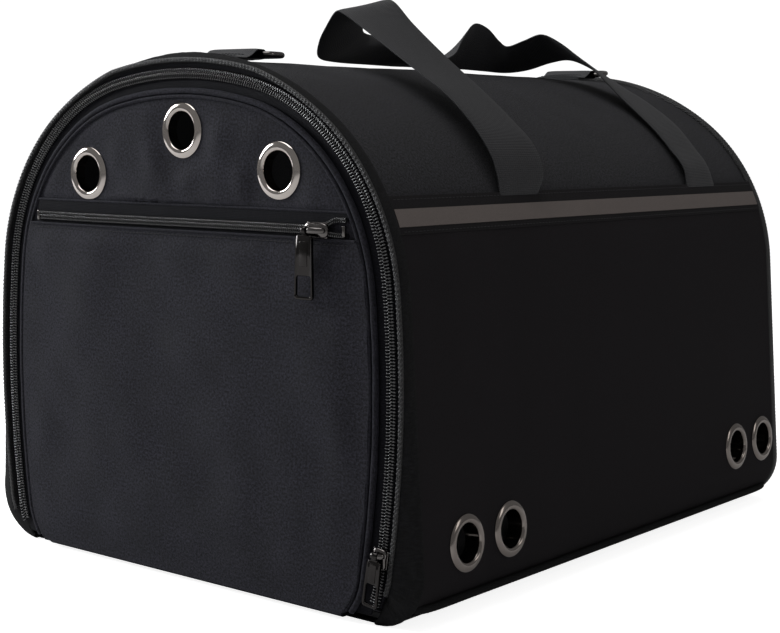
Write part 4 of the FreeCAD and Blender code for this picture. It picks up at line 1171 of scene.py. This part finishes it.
pocket_coil("pocket_coil_top", 1, ("pocket_zip_teeth_upper",))
pocket_coil("pocket_coil_low", -1, ("pocket_zip_teeth_lower",))

# the fabric seam that the door swings on, bending between the carrier and the door
seam_across = np.linspace(-HALF_HINGE, HALF_HINGE, 90)
path = np.array([
    (-204.6, 1.1), (-207.5, 1.0), (-209.6, 1.1), (-210.8, 2.0), (-211.3, 3.4), (-211.5, 5.6), (-211.5, 8.0),
])
seam_face = np.zeros((len(path), len(seam_across), 3))
seam_face[..., 0] = seam_across[None]
seam_face[..., 1:] = path[:, None]
seam_back = seam_face.copy()
seam_back[..., 1] += np.array((0, 0.1, 0.3, 0.55, 0.7, 0.7, 0.7))[:, None]
seam_back[..., 2] += np.array((0.7, 0.7, 0.6, 0.4, 0.1, 0, 0))[:, None]
seam = slab("hinge_seam", seam_face, seam_back, seam_across[None], (np.arange(len(path)) * 2.2)[:, None])
finish_piece(seam, M_DOOR, None, ("door_hinge_tape",))
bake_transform(seam)

# ---------------------------------------------------------------- eyelets
def closed_quads(rows, columns):
    """Faces over a grid of points that closes up both ways."""
    quads = []
    for i in range(rows):
        here, there = i * columns, (i + 1) % rows * columns
        for j in range(columns):
            k = (j + 1) % columns
            quads.append((here + j, here + k, there + k, there + j))
    return quads


def merged(name, parts):
    """One object from several (vertices, faces)."""
    vertices, faces = [], []
    for more, polygons in parts:
        faces += [tuple(k + len(vertices) for k in p) for p in polygons]
        vertices += [tuple(p) for p in more]
    return new_object(name, vertices, faces)


def lathe(profile, place, axis, sides=56):
    """Points of a profile (radius, height) turned round an axis, and its faces."""
    axis = np.asarray(axis, float)
    first = np.cross(axis, (0.0, 0.0, 1.0) if abs(axis[2]) < 0.9 else (1.0, 0.0, 0.0))
    first /= np.linalg.norm(first)
    second = np.cross(axis, first)
    vertices = []
    for angle in np.linspace(0, 2 * math.pi, sides, endpoint=False):
        direction = first * math.cos(angle) + second * math.sin(angle)
        vertices += [np.asarray(place) + direction * r + axis * h for r, h in profile]
    return vertices, closed_quads(sides, len(profile))


def eyelet_profile(wall):
    """Domed flange that rises from the cloth and rolls over into the bore."""
    return [
        (15.5, 0.0), (15.6, 0.25), (15.3, 0.6), (14.6, 0.98), (13.8, 1.28), (13.0, 1.46), (12.2, 1.5),
        (11.5, 1.34), (10.95, 0.98), (10.6, 0.5), (10.5, 0.0), (10.5, -wall), (11.1, -wall), (11.1, -0.05),
        (13.0, -0.05),
    ]


WASHER = [(11.2, 0.0), (13.0, 0.0), (13.0, -0.5), (12.6, -0.8), (11.6, -0.8), (11.2, -0.5)]


def eyelets(name, profile, places, axis, material, body, nodes):
    made = merged(name, [lathe(profile, place, axis) for place in places])
    finish_piece(made, material, body, nodes, 60.0)


rings_at = [(x, PANEL_FACE - 0.1, z) for x, z in DOOR_EYELETS]
backs_at = [(x, WASHER_FACE, z) for x, z in DOOR_EYELETS]
eyelets("door_eyelet_rings", eyelet_profile(6.2), rings_at, DOOR_OUT, M_NICKEL, "door", ("door_eyelets",))
eyelets("door_eyelet_backs", WASHER, backs_at, DOOR_OUT, M_NICKEL, "door", ("door_washers",))
for side, word in SIDES:
    axis = side_axis(side)
    places = side_places(side, 0.5)
    backs_at = [p - axis * SIDE_WASHER_DEPTH for p in places]
    eyelets("side_eyelet_rings_" + word, eyelet_profile(9.1), places, axis, M_DULL, "carrier",
            ("side_eyelets_" + word,))
    eyelets("side_eyelet_backs_" + word, WASHER, backs_at, axis, M_DULL, "carrier",
            ("side_washers_" + word,))


# ---------------------------------------------------------------- sliders and pulls
def rounded_block(size, place, bevel, segments=4):
    """A box with rounded edges as a small mesh, in millimetres."""
    work = bmesh.new()
    bmesh.ops.create_cube(work, size=1.0)
    bmesh.ops.scale(work, vec=size, verts=work.verts)
    bmesh.ops.bevel(work, geom=list(work.edges), offset=bevel, segments=segments, affect="EDGES",
                    profile=0.5)
    bmesh.ops.translate(work, vec=place, verts=work.verts)
    data = bpy.data.meshes.new("block")
    work.to_mesh(data)
    work.free()
    vertices = [tuple(p.co) for p in data.vertices]
    faces = [tuple(p.vertices) for p in data.polygons]
    bpy.data.meshes.remove(data)
    return vertices, faces


def plate(outline, half_thick, bevel=0.35):
    """A flat plate from loops (outer, hole) in (x, z), rounded along its edges. The loops match."""
    outer, hole = outline
    rows = []
    for loop, sign in ((outer, 1), (hole, -1)):
        centre = loop.mean(0)
        away = loop - centre
        away /= np.linalg.norm(away, axis=1)[:, None]
        rows.append([(loop - sign * away * bevel, half_thick), (loop, half_thick - bevel),
                     (loop, -half_thick + bevel), (loop - sign * away * bevel, -half_thick)])
    rings = rows[0] + rows[1][::-1]
    vertices = [(p[0], depth, p[1]) for loop, depth in rings for p in loop]
    return vertices, closed_quads(len(rings), len(outer))


def rounded_loop(x0, x1, z0, z1, radius, count=64, taper=0.0):
    """A rounded rectangle, narrower by taper at its top, with a fixed number of points."""
    left, right, low, high = x0 + radius, x1 - radius, z0 + radius, z1 - radius
    corners = [(right, high, 0), (left, high, 90), (left, low, 180), (right, low, 270)]
    points = []
    for cx, cz, start in corners:
        points.append(polar((cx, cz), radius, math.radians(start), math.radians(start + 90), count // 4))
    loop = np.concatenate(points)
    share = (loop[:, 1] - z0) / (z1 - z0)
    loop[:, 0] *= 1 - taper * share
    return loop


def slider_mesh(name, length, breadth, along_x, crown):
    """A slider round its place on the teeth: waisted top plate, side wings and an arched crown."""
    wide, tall = (length, breadth) if along_x else (breadth, length)
    x, z, _ = rounded_section(wide / 2, tall / 2, 2 / 0.62, 48)
    lead = x if along_x else z
    waist = 1 - 0.16 * np.exp(-((lead / (length * 0.22)) ** 2))
    if along_x:
        z = z * waist
    else:
        x = x * waist
    steps = ((1.0, -0.5), (1.0, -1.3), (0.97, -1.9), (0.88, -2.3), (0.6, -2.6), (0.05, -2.75))
    vertices, faces = [], []
    add_rings(vertices, faces, [[(a * k, y, b * k) for a, b in zip(x, z)] for k, y in steps])
    parts = [(vertices, faces)]
    wing = (length * 0.86, 1.1, 1.2) if along_x else (1.2, 1.1, length * 0.86)
    for sign in (1, -1):
        aside = sign * (breadth / 2 - 0.75)
        parts.append(rounded_block(wing, (0, -0.1, aside) if along_x else (aside, -0.1, 0), 0.35, 3))
    left, right, height = crown
    lean, span = (left + right) / 2, (right - left) / 2 + 1.1
    upward = np.array((0, 0, 1.25))
    rib, sweep = [], []
    add_rings(rib, sweep, [
        ring_round(np.array((lean + a * span, -2.1 - b * 3.6, height)), np.array((a, -b, 0.0)) * 0.62,
                   upward, 1.0 + 0.25 * b, 8)
        for a, b in polar((0, 0), 1.0, math.pi, 0, 16)
    ])
    parts.append((rib, sweep))
    return merged(name, parts)


def pull_mesh(name, eye, length, width):
    """Pull tab: an eye round the pin, a tapered plate and a window near its lower end."""
    outer = rounded_loop(-width / 2, width / 2, -length, -2.6, 1.9, taper=0.16)
    hole = rounded_loop(-width / 2 + 1.5, width / 2 - 1.5, -length + 1.7, -length + 12.6, 1.3)
    half = eye / 2
    round_pin = [(1.25, -half), (2.0, -half), (2.25, -half + 0.3), (2.25, half - 0.3), (2.0, half),
                 (1.25, half)]
    return merged(name, [
        plate((outer, hole), 0.85),
        lathe(round_pin, (0, 0, 0), (1.0, 0.0, 0.0), 24),
        rounded_block((eye, 1.5, 2.8), (0, 0, -2.6), 0.4, 3),
        rounded_block((width * 0.42, 0.7, length * 0.36), (0, -0.85, -length * 0.34), 0.33, 3),
    ])


def placed(made, matrix):
    """Moves a mesh made round its own origin in millimetres to its place."""
    made.data.transform(matrix)
    made.data.update()
    return made


def moved_to(x, y, z):
    return Matrix.Translation(Vector((x, y, z)) * MM)


def metalwork(made, matrix, material, body):
    """A slider or a pull, which rides the body and replaces the node of the same name."""
    finish_piece(placed(made, matrix), material, body, (body,), 50.0)


made = slider_mesh("pocket_slider_body", 16.5, 8.6, True, (-6.2, 5.6, 0.0))
metalwork(made, moved_to(POCKET_SLIDER_X, POCKET_SLIDER_FACE, POCKET_LINE), M_BLACK, "pocket_slider")
made = pull_mesh("pocket_pull_tab", 3.0, 36.5, 13.0)
place = moved_to(POCKET_SLIDER_X - 4.6, POCKET_SLIDER_FACE - PULL_STANDOFF, POCKET_LINE)
metalwork(made, place, M_PULL, "pocket_pull")

slider_turn = math.asin((DOOR_SLIDER_Z - ZIP_SIDE_AT[1]) / ZIP_SIDE)
door_slider_x = ZIP_SIDE_AT[0] + ZIP_SIDE * math.cos(slider_turn)
turn = moved_to(door_slider_x, DOOR_SLIDER_FACE, DOOR_SLIDER_Z) @ Matrix.Rotation(-slider_turn, 4, "Y")
made = slider_mesh("door_slider_body", 11.5, 10.0, False, (-2.4, 2.4, 2.4))
metalwork(made, turn, M_BLACK, "door_slider")
made = pull_mesh("door_pull_tab", 4.0, 28.0, 10.0)
metalwork(made, turn @ moved_to(0, -PULL_STANDOFF, 2.4), M_PULL, "door_pull")
stops = []
for x in (-STOPS_X, STOPS_X):
    stops.append(rounded_block((2.0, 1.9, 5.8), (x, STOPS_FACE, POCKET_LINE + float(sag(x))), 0.4, 3))
finish_piece(merged("pocket_end_stops", stops), M_BLACK, "door", ("pocket_zip_stops",), 50.0)

# ---------------------------------------------------------------- webbing
# one continuous strap: front foot, over the roof, folded at the top, along the ridge, arch, rear foot
FRONT_EDGE = [
    (141.5, -104, 223), (139, -104, 235), (133, -104, 248), (119, -104, 265), (100, -103, 281),
    (78, -102, 294), (40, -100, 317), (20, -98, 328), (12, -95, 329), (3, -92, 322), (-7, -88, 312),
    (-13, -82, 303), (-13, -68, 300.5), (-17, -30, 300.5), (-18, -6, 300.5), (-14, 22, 300.5),
    (-10, 42, 300.5), (-8, 62, 300.5), (-6, 86, 300), (-2, 108, 299.5), (6, 124, 302), (20, 131, 307),
    (32, 136, 309), (44, 140, 305), (57, 143, 298), (70, 147, 290), (88, 152, 279), (109, 154, 264),
    (125, 153, 248), (135, 152, 237), (141.5, 151, 223),
]
REAR_EDGE = [
    (141.5, -66, 223), (145, -66, 236), (138, -66, 251), (124, -66, 264), (103, -66, 281), (76, -66.5, 301),
    (50, -67, 322), (34, -66, 336), (23, -63, 337), (9, -58, 331), (-3, -51, 321), (-4, -38, 318),
    (12, -20, 314), (18, -4, 304), (18, 18, 308), (14, 34, 320), (12, 49, 330), (11, 66, 328),
    (10, 82, 320), (10, 92, 317), (20, 97, 321), (32, 100, 325), (44, 103, 320), (56, 106, 311),
    (68, 111, 301), (88, 117, 281), (112, 116, 262), (126, 116, 248), (137, 115, 236), (141.5, 113, 223),
]
strap = ribbon("right_handle_strap", FRONT_EDGE, REAR_EDGE, 1.7, 320, 13, 0.25)
finish_piece(strap, M_WEB, "handle_right", ("handle_right",), 70.0)


def hanging_edges():
    """The left handle hangs flat against the side: two legs and a rounded lower run."""
    low, radius = 35.0, 52.0
    first, last = HANDLE_FEET
    line = [(first, z) for z in (223, 205, 180, 150, 120)]
    line += [tuple(p) for p in polar((first + radius, low + radius), radius, math.pi, 1.5 * math.pi, 7)]
    line += [(first + radius + 25, low), (last - radius - 25, low)]
    line += [tuple(p) for p in polar((last - radius, low + radius), radius, -math.pi / 2, 0, 7)]
    line += [(last, z) for z in (120, 150, 180, 205, 223)]
    line = np.array(line, float)
    tangent = np.gradient(line, axis=0)
    tangent /= np.linalg.norm(tangent, axis=1)[:, None]
    side = outward(tangent)
    edges = []
    for sign in (1, -1):
        points = line + side * HALF_STRAP * sign
        share = np.arange(len(points)) / (len(points) - 1)
        standoff = -2.0 - 2.2 * np.sin(math.pi * share) - 0.8 * sign
        edges.append([(-skin_x(d, max(z, 32.5)), y, z) for (y, z), d in zip(points, standoff)])
    return edges


outer_edge, inner_edge = hanging_edges()
strap = ribbon("left_handle_strap", outer_edge, inner_edge, 1.7, 260, 13, 0.3)
finish_piece(strap, M_WEB, "handle_left", ("handle_left",), 70.0)


def tab(word, bar_y, nodes):
    """A webbing tab that lies on the roof and loops round the bar of a ring."""
    bar_z, loop = RING_BAR_Z, 2.65
    floor = bar_z - loop
    line = [(bar_y - 20, floor), (bar_y - 12, floor), (bar_y - 4, floor), (bar_y, floor)]
    line += [(bar_y + loop * math.cos(a), bar_z + loop * math.sin(a)) for a in np.linspace(-1.1, 1.1, 6)]
    line += [(bar_y, bar_z + loop), (bar_y - 5, bar_z + loop - 0.2), (bar_y - 10, floor + 2.6),
             (bar_y - 14, floor + 1.35), (bar_y - 20, floor + 1.3)]
    edges = [[(x, y, z) for y, z in line] for x in (-HALF_STRAP, HALF_STRAP)]

    def over_the_ridge(rings):
        free = smooth((bar_y - 3.0 - rings[..., 1]) / 6.0)
        rings[..., 2] -= free * rings[..., 0] ** 2 / RIDGE_FALL
        return rings

    made = ribbon("ring_tab_" + word, edges[0], edges[1], 1.1, 90, 13, 0.0, over_the_ridge)
    finish_piece(made, M_WEB, "carrier", nodes, 70.0)
    for index, back in enumerate((18.0, 11.5)):
        x = np.linspace(-17, 17, 20)
        rise = floor + (2.1 if back > 15 else 2.9)
        points = np.stack([x, np.full_like(x, bar_y - back), rise - x**2 / RIDGE_FALL], 1)
        upright = np.tile((0.0, 0.0, 1.0), (len(x), 1))
        rows = stitches("tab_stitching_%s_%d" % (word, index), points, upright, 2.6, 1.9)
        finish_piece(rows, M_THREAD, "carrier")


tab("front", FRONT_BAR_Y, ("tab_front",))
tab("rear", REAR_BAR_Y, ("tab_rear",))
for name in ("ring_front", "ring_rear"):
    set_material(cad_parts[name], M_BLACK)

# ---------------------------------------------------------------- stage, light and camera
def stage_plane():
    """Pale floor, wide enough to reach the horizon."""
    spots = np.linspace(-9000.0, 9000.0, 7)
    grid = [(x, y, -0.2) for x in spots for y in spots]
    faces = [(7 * i + j, 7 * i + j + 1, 7 * i + j + 8, 7 * i + j + 7) for i in range(6) for j in range(6)]
    return new_object("stage_floor", grid, faces)


# the backdrop is bright for the camera only, so it lights nothing
PAPER_GLOW, SKY_GLOW, SKY_LIGHT = 0.87, 0.86, 0.2
floor = stage_plane()
paper, paper_tree, paper_shader = start_material("pale_paper", (0.8, 0.8, 0.8), 0.95, specular=0.1)
paper_shader.inputs["Emission Color"].default_value = (1, 1, 1, 1)
seen = node(paper_tree, "ShaderNodeLightPath")
glow = math_node(paper_tree, "MULTIPLY", seen.outputs["Is Camera Ray"], PAPER_GLOW)
paper_tree.links.new(glow, paper_shader.inputs["Emission Strength"])
floor.data.materials.append(paper)

world = bpy.data.worlds.new("studio")
bpy.context.scene.world = world
world.use_nodes = True
sky = world.node_tree
sky.nodes["Background"].inputs[0].default_value = (1, 1, 1, 1)
seen = node(sky, "ShaderNodeLightPath")
glow = math_node(sky, "MULTIPLY", seen.outputs["Is Camera Ray"], SKY_GLOW)
strength = math_node(sky, "ADD", glow, SKY_LIGHT)
sky.links.new(strength, sky.nodes["Background"].inputs[1])


def area_light(name, place, aim, size, power, tint=(1, 1, 1)):
    data = bpy.data.lights.new(name, "AREA")
    data.shape, data.size, data.size_y, data.energy, data.color = "RECTANGLE", size[0], size[1], power, tint
    lamp = add_object(name, data)
    lamp.location = place
    lamp.rotation_euler = (Vector(aim) - Vector(place)).to_track_quat("-Z", "Y").to_euler()


area_light("overhead", (-0.3, -0.3, 1.7), (0, 0, 0.2), (1.6, 1.2), 15)
area_light("front_left", (-2.1, -1.05, 0.95), (0, -0.1, 0.15), (0.7, 0.9), 33, (0.95, 0.97, 1.0))
area_light("rim_right", (1.7, 0.5, 1.0), (0, 0.1, 0.2), (0.5, 1.0), 3, (1.0, 0.97, 0.94))

CAMERA_PLACE, LENS = (0.6577, -0.8495, 0.2596), 74.69
YAW, PITCH, ROLL = math.radians(38.53), math.radians(6.637), math.radians(-0.6816)
ahead = Vector((-math.sin(YAW), math.cos(YAW), 0))
right_way = Vector((math.cos(YAW), math.sin(YAW), 0))
upward = Vector((0, 0, 1))
view_way = math.cos(PITCH) * ahead - math.sin(PITCH) * upward
tilted_up = math.cos(PITCH) * upward + math.sin(PITCH) * ahead
image_right = right_way * math.cos(ROLL) - tilted_up * math.sin(ROLL)
image_up = right_way * math.sin(ROLL) + tilted_up * math.cos(ROLL)
camera = add_object("camera", bpy.data.cameras.new("camera"))
camera.data.sensor_width = 36.0
camera.data.lens = LENS
basis = Matrix((image_right, image_up, -view_way)).transposed().to_4x4()
camera.matrix_world = Matrix.Translation(CAMERA_PLACE) @ basis
bpy.context.scene.camera = camera
bpy.context.scene.view_settings.view_transform = "Standard"
